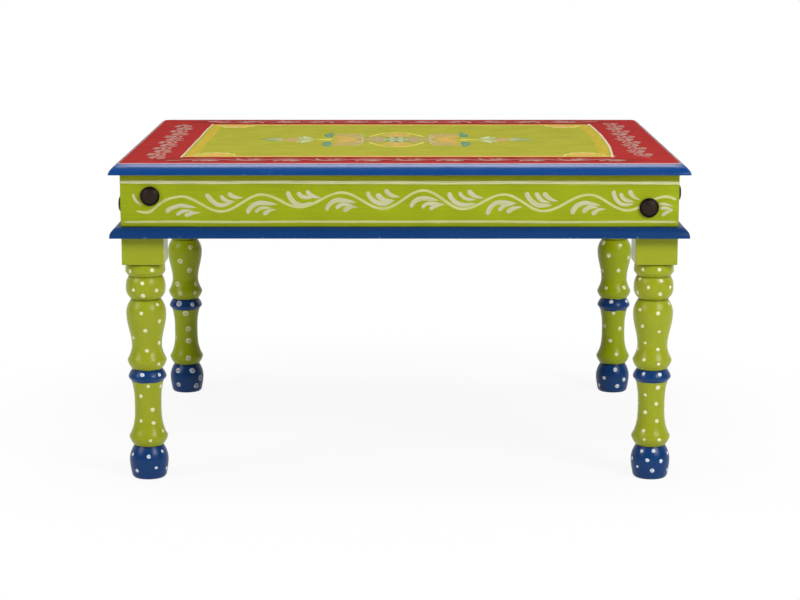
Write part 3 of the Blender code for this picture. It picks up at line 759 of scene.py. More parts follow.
def smooth_path(points, step):
    """Points a step apart along a smooth curve through the given points."""
    knots = [Vector(point) for point in points]
    knots = [2 * knots[0] - knots[1], *knots, 2 * knots[-1] - knots[-2]]
    path = []
    for a, b, c, d in zip(knots, knots[1:], knots[2:], knots[3:]):
        count = max(2, ceil((c - b).length / step))
        for number in range(count):
            t = number / count
            bend = (2 * a - 5 * b + 4 * c - d) * t + (3 * b - a - 3 * c + d) * t * t
            path.append(b + 0.5 * t * (c - a + bend))
    path.append(knots[-2])
    return path


def add_stroke(shell, place, path, width, tips, seed, paint=0, lift=0.0, thin=0.0):
    """Adds one raised brush stroke. place turns two places on the surface and a height over it
    into a point, and path is a list of points on the surface, a short step apart."""
    hand = Random(seed)
    ridges = [hand.uniform(*RIDGES) for point in STROKE_SECTION]
    runs = [0.0]
    for here, there in zip(path, path[1:]):
        runs.append(runs[-1] + (there - here).length)
    whole = runs[-1]
    rings = []
    strokes = []
    for number, (point, run) in enumerate(zip(path, runs)):
        ahead = path[min(number + 1, len(path) - 1)] - path[max(number - 1, 0)]
        ahead.normalize()
        landing = min(1.0, run / (tips[0] * width))
        lifting = min(1.0, (whole - run) / (tips[1] * width))
        swell = (landing * (2 - landing)) ** LANDING_POWER
        swell *= (lifting * (2 - lifting)) ** LIFTING_POWER
        swell = max(TIP_SHARE, swell) * (1 + WIDTH_WOBBLE * hand_wobble(seed, run, 3 * width))
        crest = sizes().stroke_height * (TIP_HEIGHT + (1 - TIP_HEIGHT) * min(1.0, swell))
        ring = []
        for (across, rise), ridge in zip(STROKE_SECTION, ridges):
            off = across * swell * width
            height = lift - SINK if rise == 0.0 else lift + crest * rise * ridge
            ring.append(place(point.x - ahead.y * off, point.y + ahead.x * off, height))
            strokes.append((run, off, seed * STREAKS_APART))
        rings.append(ring)
    shell.loft(rings, paint, [thin] * len(strokes), strokes)


def add_dot(shell, place, radius, height, seed, paint=0, thin=0.0):
    """Adds one raised dot of paint of uneven outline. place works as for a stroke, with the dot
    in the middle of the surface."""
    rings = []
    wear = []
    strokes = []
    for share, rise in DOT_RINGS:
        ring = []
        for step in range(DOT_STEPS):
            angle = step / DOT_STEPS * tau
            uneven = 1 + DOT_WOBBLE * hand_wobble(seed, cos(angle) + 2.0 * sin(angle), 2.3)
            x = share * radius * uneven * cos(angle)
            y = share * radius * uneven * sin(angle)
            ring.append(place(x, y, -SINK if rise is None else rise * height))
            wear.append(thin * (1 - share))
            strokes.append((x, y, seed * STREAKS_APART))
        rings.append(ring)
    shell.loft(rings, paint, wear, strokes)


def swing(turns):
    """Path of a vine that swings from turn to turn."""
    path = [Vector(turns[0])]
    for (x, z), (next_x, next_z) in zip(turns, turns[1:]):
        for step in range(1, SWING_STEPS + 1):
            share = step / SWING_STEPS
            rise = (1 - cos(pi * share)) / 2
            path.append(Vector((x + (next_x - x) * share, z + (next_z - z) * rise)))
    return path


def add_clusters(shell, place, turns, seed, scale, lift):
    """Adds a cluster of three leaves at each turn of a vine. scale changes them along the vine,
    across it, and in the breadth of their strokes."""
    hand = Random(seed)
    for number, (x, z) in enumerate(turns[1:], 1):
        leaves = LEAVES_UNDER_CREST if z > turns[number - 1][1] else LEAVES_OVER_TROUGH
        for leaf, points in enumerate(leaves):
            shift = [hand.uniform(-most, most) for most in LEAF_STRAY]
            marks = []
            for along, up in points:
                stray = [hand.uniform(-most, most) for most in POINT_STRAY]
                marks.append((
                    x + (along + shift[0] + stray[0]) * MM * scale[0],
                    z + (up + shift[1] + stray[1]) * MM * scale[1],
                ))
            broad = sizes().leaf_width * hand.uniform(*LEAF_BREADTH) * scale[2]
            path = smooth_path(marks, LEAF_STEP)
            add_stroke(shell, place, path, broad, LEAF_TIPS, seed + number * 3 + leaf, 0, lift)


def stations(whole):
    """Places from 0 to a whole length, a step apart, and one close to each end, so that a line
    keeps its width up to its ends."""
    count = max(2, ceil(whole / LINE_STEP))
    middles = [whole * number / count for number in range(1, count)]
    return [0.0, LINE_END, *middles, whole - LINE_END, whole]


def drawn_line(start, end, seed, wobble):
    """A line drawn by hand between two points of a surface."""
    start = Vector(start)
    end = Vector(end)
    ahead = (end - start).normalized()
    aside = ahead.orthogonal() * wobble
    runs = stations((end - start).length)
    return [start + ahead * run + aside * hand_wobble(seed, run, LINE_WAVE) for run in runs]


# The top

# Wear of the top's lip, as a share of that of a moulding.
TOP_WEAR = 0.4
# Rings of points in the field, as shares of its outline, and unevenness and waves of that.
FIELD_RINGS = (1.0, 0.6, 0.2)
FIELD_WOBBLE = 1.5 * MM
END_WAVE = 0.11
EDGE_WAVE = 0.16
# The field's right end is bowed, most at a place behind the middle, and its left one leans.
RIGHT_SHIFT = 4.5 * MM
RIGHT_BOW = 0.1276
BOW_MIDDLE = 0.05
LEFT_SHIFT = 0.5 * MM
LEFT_LEAN = 9.2 * MM
# Thickness of a layer of paint on which the next one lies.
LAYER_RISE = 0.12 * MM


def field_end(sign, y):
    """Place along the table of the field's left or right end, at a place across the table."""
    if sign > 0:
        bow = RIGHT_SHIFT - RIGHT_BOW * (y - BOW_MIDDLE) ** 2
    else:
        bow = LEFT_SHIFT + LEFT_LEAN * y
    return sign * FIELD_END + bow + FIELD_WOBBLE * hand_wobble(3 + sign, y, END_WAVE)


def field_edge(sign, x):
    """Place across the table of the field's front or back edge, at a place along the table."""
    return sign * FIELD_EDGE + FIELD_WOBBLE * hand_wobble(8 + sign, x, EDGE_WAVE)


def on_top(u, v, height):
    """Point over the top's flat surface."""
    return Vector((u, v, TOP_HIGH.z + height))


def on_band(side, middle):
    """Function that places points on the top's border along a side, in that side's frame."""
    turn = side_turn(side)

    def place(u, v, height):
        return turn @ Vector((u, v - middle, TOP_HIGH.z + height))

    return place


class PAINTED_TABLE_OT_top_board(bpy.types.Operator):
    """Makes the table top: curved blue edge, red border and green field"""

    bl_idname = "painted_table.top_board"
    bl_label = "Top board"

    def execute(self, context):
        half_x, half_y = TOP_HIGH.x, TOP_HIGH.y
        radius = sizes().corner_radius
        inner = rounded_outline(half_x - UNDERSIDE_INSET, half_y - UNDERSIDE_INSET, radius)
        rings = [[(p.x, p.y, TOP_LOW.z) for p in inner]]
        wear = [0.0] * len(inner)
        for inset, rise, worn in edge_profile(TOP_ROUND, TOP_POWER):
            outline = rounded_outline(half_x - inset, half_y - inset, radius, back_radius=BACK_EASE)
            rings.append([(p.x, p.y, TOP_LOW.z + rise) for p in outline])
            wear += [TOP_WEAR * worn] * len(outline)
        border = len(rings) - 1
        field = []
        for p in rounded_outline(FIELD_END, FIELD_EDGE, radius):
            x = abs(p.x) / FIELD_END * field_end(1 if p.x > 0 else -1, p.y)
            y = abs(p.y) / FIELD_EDGE * field_edge(1 if p.y > 0 else -1, p.x)
            field.append((x, y))
        for share in FIELD_RINGS:
            rings.append([(share * x, share * y, TOP_HIGH.z) for x, y in field])
            wear += [0.0] * len(field)
        lip = rounded_outline(half_x, half_y, radius, back_radius=BACK_EASE)
        at_end = [abs(p.x) > half_x - radius and abs(p.y) < half_y - radius for p in lip]
        materials = [
            bare_wood(ALONG_X),
            # The top's long edges take the lighter copy of the blue, as painted light from above.
            side_enamel("edge_blue", ALONG_X),
            side_enamel("blue", ALONG_Y),
            top_enamel("red"),
            top_enamel("field_green"),
        ]
        wood, long_edge, end_edge, red, green = range(len(materials))

        def paint(ring, step):
            if ring == 0:
                return wood
            if ring < border:
                return end_edge if at_end[step] else long_edge
            return red if ring == border else green

        shell = Shell()
        shell.loft(rings, paint, wear)
        add_piece("top_board", shell, materials, "top_paint", "table_top")
        return {"FINISHED"}


def on_rim(side):
    """Function that places points along the top's rim on a side: inwards over the flat, and
    outwards down the curved edge."""
    turn = side_turn(side)
    reach = (TOP_HIGH.y if side in LONG_SIDES else TOP_HIGH.x) - TOP_ROUND

    def place(u, v, height):
        fall = RIM_FALL if v < 0 else 0.0
        out = v * cos(fall) - height * sin(fall) - reach
        return turn @ Vector((u, out, TOP_HIGH.z + v * sin(fall) + height * cos(fall)))

    return place


# The pink lines along the front and back are painted lines whose pale pink tone also stands for the
# white backdrop mirrored on the rounded arris, a painted reflection. On the front and the ends the
# lines lie partly down the curved edge, where they also stand for that painted reflection.
# Places of the rim's lines, in widths in from where the edge begins to curve.
RIM_INWARD = {"front": 0.05, "right": 0.1, "back": 0.7, "left": 0.1}
# Places of the gold and brown lines, in from the field's edge, and rise of the ivory ones.
GOLD_INWARD = 14 * MM
BROWN_INWARD = 2 * MM
IVORY_RISE = 0.05 * MM
# How far a line along the rim strays.
RIM_WOBBLE = 0.5 * MM
# The ivory line at the right end is broader than the left one.
RIGHT_BREADTH = 1.4


class PAINTED_TABLE_OT_top_lines(bpy.types.Operator):
    """Paints the top's lines: pink and beige on its rim, ivory, gold and brown round its field"""

    bl_idname = "painted_table.top_lines"
    bl_label = "Top lines"

    def execute(self, context):
        rim = Shell()
        for number, side in enumerate(SIDES):
            long_side = side in LONG_SIDES
            half = (TOP_HIGH.x if long_side else TOP_HIGH.y) - TOP_ROUND
            width = sizes().rim_line if long_side else sizes().end_line
            inward = RIM_INWARD[side] * width
            start = -half + (BACK_EASE if side in ("back", "left") else 0.0)
            end = half - (BACK_EASE if side in ("back", "right") else 0.0)
            seed = SEEDS["rim_path"] + number
            path = drawn_line((start, inward), (end, inward), seed, RIM_WOBBLE)
            paint = 0 if long_side else 1
            add_stroke(rim, on_rim(side), path, width, END_TIPS, SEEDS["rim"] + number, paint)
        materials = stroke_paints(("pale_pink", "blush"), ("blush", "red"))
        add_piece("rim_line", rim, materials, "cream_paint")
        lines = Shell()
        ys = [run - FIELD_EDGE for run in stations(2 * FIELD_EDGE)]
        xs = [run - FIELD_END for run in stations(2 * FIELD_END)]
        for sign in (-1, 1):
            path = [Vector((field_end(sign, y), y)) for y in ys]
            width = sizes().field_line * (RIGHT_BREADTH if sign > 0 else 1.0)
            add_stroke(lines, on_top, path, width, END_TIPS, SEEDS["ivory"] + sign, 0, IVORY_RISE)
            path = [Vector((x, field_edge(sign, x) - sign * GOLD_INWARD)) for x in xs]
            add_stroke(lines, on_top, path, sizes().gold_line, LINE_TIPS, SEEDS["gold"] + sign, 1)
            path = [Vector((x, field_edge(sign, x) - sign * BROWN_INWARD)) for x in xs]
            add_stroke(lines, on_top, path, sizes().brown_line, LINE_TIPS, SEEDS["brown"] + sign, 2)
        materials = stroke_paints(("ivory", "blush"), ("gold", "field_green"), ("brown", "red"))
        add_piece("field_lines", lines, materials, "cream_paint")
        return {"FINISHED"}


# Vines of the border, on long and on short sides: half length, distance from the table's middle,
# pitch of their turns, and scale of their leaves along, across and in breadth.
LONG_VINE = (0.345, 0.270, 0.0565, (0.95, 0.95, 1.0))
SHORT_VINE = (0.262, 0.343, 0.0405, (0.74, 1.0, 1.25))
VINE_START = 20 * MM
VINE_SWING = 9 * MM
VINE_TIPS = (7.0, 0.5)
# Their stem, beside that of an apron's vine.
BORDER_STEM = 0.9
# The dark wash under the long vines: width, slant, unevenness, thinness, and rise of what is on it.
WASH_WIDTH = 52 * MM
WASH_SLANT = 2 * MM
WASH_WOBBLE = 6 * MM
WASH_THIN = 0.16
WASH_RISE = 0.3 * MM


class PAINTED_TABLE_OT_border_vines(bpy.types.Operator):
    """Paints a vine with leaves on each red band of the top's border"""

    bl_idname = "painted_table.border_vines"
    bl_label = "Border vines"

    def execute(self, context):
        for number, side in enumerate(SIDES):
            long_side = side in LONG_SIDES
            half, middle, pitch, scale = LONG_VINE if long_side else SHORT_VINE
            turns = []
            x = -half + VINE_START
            while x < half:
                turns.append((x, -VINE_SWING if len(turns) % 2 == 0 else VINE_SWING))
                x += pitch
            shell = Shell()
            place = on_band(side, middle)
            seed = SEEDS["border"] + 50 * number
            lift = 0.0
            if long_side:
                ends = ((-half, WASH_SLANT), (half, -WASH_SLANT))
                wash = drawn_line(*ends, seed + 40, WASH_WOBBLE)
                add_stroke(shell, place, wash, WASH_WIDTH, BLOB_TIPS, seed + 41, 1, 0.0, WASH_THIN)
                lift = WASH_RISE
            width = BORDER_STEM * sizes().vine_width
            add_stroke(shell, place, swing(turns), width, VINE_TIPS, seed, 0, lift)
            add_clusters(shell, place, turns, seed, scale, lift)
            materials = stroke_paints(("blush", "red"), ("dark_red", "red"))
            add_piece(f"border_vine_{side}", shell, materials, "cream_paint")
        return {"FINISHED"}


# Yellow bands: place in from the field's end, width, thinness, and share of the field's depth.
BAND_INWARD = 11.5 * MM
BAND_WIDTH = 16 * MM
BAND_THIN = 0.10
BAND_SHARE = 0.9
BAND_STEPS = 80
# Dabs on a band: number, share of the field's depth, and in mm their reach out and in, least and
# most inward place, stray along the band, tilt, and least and most width.
DAB_COUNT = 40
DAB_SHARE = 0.88
DAB_OUT, DAB_IN = 4, 5
DAB_INWARD = (6, 17)
DAB_STRAY = 2
DAB_TILT = 4
DAB_WIDTH = (4, 6)
DAB_STEP = 2 * MM
# Fans: place of their middle along the table, of their foot in from the field's edge, number of
# petals, and distances along and across of the petals' roots and tips and of the arch.
FAN_MIDDLE = 262 * MM
FAN_INWARD = 8 * MM
FAN_PETALS = 7
FAN_ROOT = (8 * MM, 8 * MM)
FAN_OUTER = (38 * MM, 60 * MM)
FAN_INNER = (19 * MM, 42 * MM)
FAN_ARCH = (30 * MM, 47 * MM)
OUTER_WIDTH = 12 * MM
INNER_WIDTH = 9 * MM
PETAL_STEP = 3 * MM
PETAL_THIN = 0.08
# The arch over a fan's petals. It starts and ends at a share of half a turn.
ARCH_START = 0.06
ARCH_STEPS = 12
ARCH_WIDTH = 1.5 * MM
ARCH_RISE = 0.2 * MM
ARCH_THIN = 0.10


class PAINTED_TABLE_OT_field_bands(bpy.types.Operator):
    """Paints the dabbed yellow bands at the field's ends, and a fan of petals in its corners"""

    bl_idname = "painted_table.field_bands"
    bl_label = "Field bands"

    def execute(self, context):
        bands = Shell()
        self.add_bands(bands)
        materials = stroke_paints(
            ("yellow", "field_green"), ("yellow", "brown"), ("gold", "yellow"),
        )
        add_piece("field_bands", bands, materials, "top_paint")
        fans = Shell()
        for sign_x in (-1, 1):
            for sign_y in (-1, 1):
                self.add_fan(fans, sign_x, sign_y)
        materials = stroke_paints(
            ("yellow", "lemon"), ("gold", "field_green"), ("white", "yellow"),
        )
        add_piece("corner_fans", fans, materials, "top_paint")
        return {"FINISHED"}

    def add_bands(self, shell):
        """Adds a broad stroke along each end of the field, and dabs across it."""
        hand = Random(SEEDS["dab_place"])
        reach = FIELD_EDGE * BAND_SHARE
        ys = [reach * (2 * step / BAND_STEPS - 1) for step in range(BAND_STEPS + 1)]
        for sign in (-1, 1):
            path = [Vector((field_end(sign, y) - sign * BAND_INWARD, y)) for y in ys]
            seed = SEEDS["band"] + sign
            add_stroke(shell, on_top, path, BAND_WIDTH, LINE_TIPS, seed, thin=BAND_THIN)
            for number in range(DAB_COUNT):
                y = FIELD_EDGE * DAB_SHARE * (2 * number / (DAB_COUNT - 1) - 1)
                y += hand.uniform(-DAB_STRAY, DAB_STRAY) * MM
                x = field_end(sign, y) - sign * hand.uniform(*DAB_INWARD) * MM
                tilt = hand.uniform(-DAB_TILT, DAB_TILT) * MM
                ends = ((x + sign * DAB_OUT * MM, y - tilt), (x - sign * DAB_IN * MM, y + tilt))
                add_stroke(
                    shell, on_top, smooth_path(ends, DAB_STEP), hand.uniform(*DAB_WIDTH) * MM,
                    DROP_TIPS, SEEDS["dab"] + number, 1 + number % 2, LAYER_RISE,
                )

    def add_fan(self, shell, sign_x, sign_y):
        """Adds a half flower that stands on the field's edge near one of its corners."""

        def place(u, v, height):
            x = sign_x * (FAN_MIDDLE + u)
            foot = field_edge(sign_y, x) - sign_y * FAN_INWARD
            return on_top(x, foot - sign_y * v, height)

        def spot(size, angle):
            return (size[0] * cos(angle), size[1] * sin(angle))

        for number in range(FAN_PETALS):
            angle = pi * (number + 0.5) / FAN_PETALS
            root = spot(FAN_ROOT, angle)
            outer = smooth_path((root, spot(FAN_OUTER, angle)), PETAL_STEP)
            seed = SEEDS["outer_petal"] + number
            add_stroke(shell, place, outer, OUTER_WIDTH, PETAL_TIPS, seed, 0, thin=PETAL_THIN)
            inner = smooth_path((root, spot(FAN_INNER, angle)), PETAL_STEP)
            seed = SEEDS["inner_petal"] + number
            add_stroke(shell, place, inner, INNER_WIDTH, PETAL_TIPS, seed, 1, LAYER_RISE)
        whole = 1 - 2 * ARCH_START
        shares = [ARCH_START + whole * step / ARCH_STEPS for step in range(ARCH_STEPS + 1)]
        arch = smooth_path([spot(FAN_ARCH, pi * share) for share in shares], DAB_STEP)
        seed = SEEDS["arch"]
        add_stroke(shell, place, arch, ARCH_WIDTH, LINE_TIPS, seed, 2, ARCH_RISE, ARCH_THIN)


# Strokes of a quarter of the medallion: paint, layer, width in mm, tips, and points in mm from
# its middle. A stroke on an axis is drawn once for each end of it.
MEDALLION = (
    ("peach", 0, 30, PETAL_TIPS, (0, 36), (0, 100)),
    ("peach", 0, 16, PETAL_TIPS, (9, 38), (20, 84)),
    ("gold", 1, 8, DROP_TIPS, (0, 52), (0, 90)),
    ("lemon", 1, 5, LEAF_TIPS, (0, 104), (18, 94), (30, 70), (36, 48)),
    ("lemon", 1, 5, DROP_TIPS, (40, 40), (34, 66)),
    ("mauve", 0, 20, PETAL_TIPS, (20, 0), (60, 0)),
    ("mauve", 0, 12, PETAL_TIPS, (22, 8), (30, 34)),
    ("mauve", 1, 6, LEAF_TIPS, (24, 30), (36, 40), (46, 30)),
    ("mauve", 2, 2.4, LEAF_TIPS, (20, 4), (20, 30), (18, 44)),
    ("mist", 2, 2.4, LEAF_TIPS, (50, 36), (52, 60), (58, 80)),
    ("ivory", 2, 2, LEAF_TIPS, (50, 6), (52, 24), (60, 40)),
    ("sand", 0, 22, PETAL_TIPS, (54, 14), (74, 52), (94, 90)),
    ("sand", 0, 18, PETAL_TIPS, (56, 28), (62, 62), (70, 94)),
    ("peach", 1, 26, PETAL_TIPS, (58, 0), (104, 0)),
    ("peach", 1, 18, PETAL_TIPS, (60, 10), (80, 34), (102, 46)),
    ("gold", 2, 6, DROP_TIPS, (66, 6), (80, 20), (92, 26)),
    ("teal", 1, 13, DROP_TIPS, (101, 34), (104, 64), (100, 100)),
    ("lemon", 1, 9, LEAF_TIPS, (96, 8), (106, 4), (126, 0)),
    ("mist", 0, 13, DROP_TIPS, (128, 6), (136, 28), (142, 48)),
    ("mist", 0, 11, DROP_TIPS, (138, 4), (146, 24), (150, 40)),
    ("white", 1, 1.8, LEAF_TIPS, (130, 8), (139, 30), (143, 44)),
    ("rose", 0, 18, PETAL_TIPS, (146, 0), (184, 0)),
    ("rose", 0, 12, PETAL_TIPS, (150, 6), (166, 22)),
    ("mist", 0, 16, LEAF_TIPS, (170, 12), (184, 12), (203, 0)),
    ("teal", 1, 5, LEAF_TIPS, (176, 26), (188, 14), (206, 0)),
    ("teal", 1, 42, BLOB_TIPS, (0, 0), (0, 38)),
    ("mist", 2, 9, PETAL_TIPS, (3, 4), (9, 36)),
    ("mist", 2, 10, PETAL_TIPS, (5, 2), (22, 12)),
    ("mauve", 3, 8, BLOB_TIPS, (0, 0), (0, 10)),
)
# The medallion's middle lies a little left of the table's.
MEDALLION_SHIFT = -5
MEDALLION_STEP = 2.5 * MM


class PAINTED_TABLE_OT_medallion(bpy.types.Operator):
    """Paints the flower medallion in the middle of the field"""

    bl_idname = "painted_table.medallion"
    bl_label = "Medallion"

    def execute(self, context):
        paints = sorted({row[0] for row in MEDALLION})
        shell = Shell()
        for number, (paint, layer, width, tips, *points) in enumerate(MEDALLION):
            ends_x = (1,) if all(x == 0 for x, y in points) else (1, -1)
            ends_y = (1,) if all(y == 0 for x, y in points) else (1, -1)
            for end_x in ends_x:
                for end_y in ends_y:
                    marks = []
                    for x, y in points:
                        marks.append(((MEDALLION_SHIFT + end_x * x) * MM, end_y * y * MM))
                    add_stroke(
                        shell, on_top, smooth_path(marks, MEDALLION_STEP), width * MM, tips,
                        SEEDS["medallion"] + number, paints.index(paint), layer * LAYER_RISE,
                    )
        materials = stroke_paints(*((paint, "field_green") for paint in paints))
        add_piece("medallion", shell, materials, "top_paint")
        return {"FINISHED"}


# The sides

# How uneven the boards, the strips under them and the cleats are.
BOARD_WAVES = 0.25 * MM
STRIP_WAVES = 0.5 * MM
CLEAT_WAVES = 0.3 * MM
# Rounding of a cleat's edges, and wear of a moulding's inner edge.
CLEAT_EASE = 0.8 * MM
INNER_WEAR = 0.2
# Points of an apron's section between which it is bare: its inside.
INSIDE_STEPS = range(11, 16)
# Lines on an apron: distances of their ends from its ends, and heights there.
UPPER_ENDS = ((0.3 * MM, 423.9 * MM), (0.5 * MM, 422.9 * MM))
LOWER_ENDS = ((5 * MM, 368.4 * MM), (2 * MM, 369.1 * MM))
# The vine's stem: spacing of points on its rise, its tips, and bare ends of an apron on the right,
# without the stem and without leaves.
STEM_STEP = 4 * MM
STEM_TIPS = (4.0, 0.5)
STEM_END = 2 * MM
LEAF_END = 4 * MM


class PAINTED_TABLE_OT_aprons(bpy.types.Operator):
    """Makes the four mitred apron boards, painted outside and bare inside"""

    bl_idname = "painted_table.aprons"
    bl_label = "Aprons"

    def execute(self, context):
        thickness = side_reach("front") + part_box("cleat_front")[0].y
        for side in SIDES:
            section = soft_section(-thickness, 0.0, APRON_LOW.z, APRON_HIGH.z, sizes().edge_radius)
            shell = Shell()
            add_strip(
                shell, side, section, lambda ring, step: int(step in INSIDE_STEPS),
                uneven=BOARD_WAVES,
            )
            brush = BRUSH_OF_SIDE[side]
            materials = [side_enamel("green", brush), bare_wood(brush)]
            add_piece(f"apron_board_{side}", shell, materials, "green_paint", f"apron_{side}")
        return {"FINISHED"}


class PAINTED_TABLE_OT_apron_paint(bpy.types.Operator):
    """Paints two lines and a vine with leaves on each apron"""

    bl_idname = "painted_table.apron_paint"
    bl_label = "Apron paint"

    def execute(self, context):
        for number, side in enumerate(SIDES):
            turn = side_turn(side)
            reach = side_reach(side)
            half = APRON_HALF[side]

            def place(u, v, height):
                return turn @ Vector((u, -reach - height, v))

            seed = SEEDS["apron"] * (number + 1)
            shell = Shell()
            # The upper line takes the paler copy of the cream, as painted light in the top's
            # shadow.
            upper = self.board_line(UPPER_ENDS, half, seed)
            add_stroke(shell, place, upper, sizes().upper_line, END_TIPS, seed + 1, 2)
            lower = self.board_line(LOWER_ENDS, half, seed + 2)
            add_stroke(shell, place, lower, sizes().lower_line, LINE_TIPS, seed + 3)
            shift = APRON_HALF["front"] - half
            stem = smooth_path(self.shifted(VINE_RISE, shift), STEM_STEP)
            stem += swing(self.shifted(VINE_TURNS, shift))[1:]
            stem = [point for point in stem if point.x < half - STEM_END]
            add_stroke(shell, place, stem, sizes().vine_width, STEM_TIPS, seed + 4)
            for leaf, (width, *points) in enumerate(VINE_LEAVES):
                marks = self.shifted(points, shift)
                if marks[-1][0] < half - LEAF_END:
                    path = smooth_path(marks, LEAF_STEP)
                    add_stroke(shell, place, path, width * MM, LEAF_TIPS, seed + 10 + leaf, 1)
            materials = stroke_paints(
                ("cream", "green"), ("chalk", "green"), ("pale_cream", "green"),
            )
            add_piece(f"apron_vine_{side}", shell, materials, "cream_paint")
        return {"FINISHED"}

    def board_line(self, ends, half, seed):
        """A line drawn from end to end of an apron of a half length."""
        (left, left_height), (right, right_height) = ends
        return drawn_line((-half + left, left_height), (half - right, right_height), seed, MM)

    def shifted(self, points, shift):
        """Points in metres, moved along the apron."""
        return [(x * MM + shift, z * MM) for x, z in points]


class PAINTED_TABLE_OT_mouldings(bpy.types.Operator):
    """Makes the four blue strips under the aprons, worn along their lip"""

    bl_idname = "painted_table.mouldings"
    bl_label = "Mouldings"

    def execute(self, context):
        reach = side_reach("front")
        lip = -MOULDING_LOW.y - reach
        inner = -MOULDING_HIGH.y - reach
        for side in SIDES:
            section = []
            for inset, rise, wear in edge_profile(MOULDING_ROUND, MOULDING_POWER):
                section.append((lip - inset, MOULDING_LOW.z + rise, wear))
            section.append((inner, MOULDING_HIGH.z, 0.0))
            section.append((inner, MOULDING_LOW.z, INNER_WEAR))
            shell = Shell()
            add_strip(shell, side, section, 0, uneven=STRIP_WAVES)
            material = side_enamel("blue", BRUSH_OF_SIDE[side])
            add_piece(f"moulding_strip_{side}", shell, [material], "blue_paint", f"moulding_{side}")
        return {"FINISHED"}


# The legs

def leg_curves():
    """Turned curves of a leg: lower and upper height and radius, upright end and power."""
    curves = []
    low = 0.0
    radius = SOLE_DIAMETER / 2 * MM
    for height, diameter, upright, power in LEG_TURNINGS:
        high = low + height * MM
        curves.append((low, high, radius, diameter / 2 * MM, upright, power))
        low = high
        radius = diameter / 2 * MM
    return curves


LEG_CURVES = leg_curves()
LEG_HEIGHTS = [(low, high) for low, high, *shape in LEG_CURVES]
TURNED_TOP = LEG_HEIGHTS[-1][1]
# Heights of the crevices, where a curve that narrows meets one that widens.
CREVICES = [
    below[1] for below, above in zip(LEG_CURVES, LEG_CURVES[1:])
    if below[3] < below[2] and above[3] > above[2] and below[4] == "lower"
]
CREVICES.append(TURNED_TOP)


def leg_radius(height):
    """Radius of a leg's turned part at a height over the floor."""
    for low, high, lower, upper, upright, power in LEG_CURVES:
        if height <= high:
            break
    part = min(1.0, max(0.0, (height - low) / (high - low)))
    share = {
        "lower": part ** power,
        "upper": 1 - (1 - part) ** power,
        "both": (1 - cos(pi * part)) / 2,
    }[upright]
    return lower + (upper - lower) * share


def leg_axis(leg):
    """Place of a leg's axis on the floor."""
    low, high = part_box(leg)
    return Vector(((low.x + high.x) / 2, (low.y + high.y) / 2, 0.0))


# Points along each curve of a leg, and round it.
CURVE_STEPS = 8
ROUND_STEPS = 72
# Edge of the blue paint: how far it creeps over the green, least creep, how far it has run, and how
# far on the back right leg.
CREEP = 0.3 * MM
LEAST_CREEP = 0.15 * MM
RUN = 0.5 * MM
LONG_RUN = 2.6 * MM
# Distance from one leg to the next in the noise that shapes that edge.
LEGS_APART = 4.7
# Half the width of a crevice, and painted shade in it, with some dirt, and under the square block.
CREVICE_HALF = 0.1 * MM
CREVICE_SHADE_AND_DIRT = -1.0
UNDER_BLOCK_SHADE = -0.9
# Rounding of the square block, side of the post over it, and wear of the block's edges and faces.
BLOCK_EASE = 1.2 * MM
POST_SIDE = 39.5 * MM
BLOCK_WEAR = (0.8, 0.1)
BLOCK_STEPS = 10


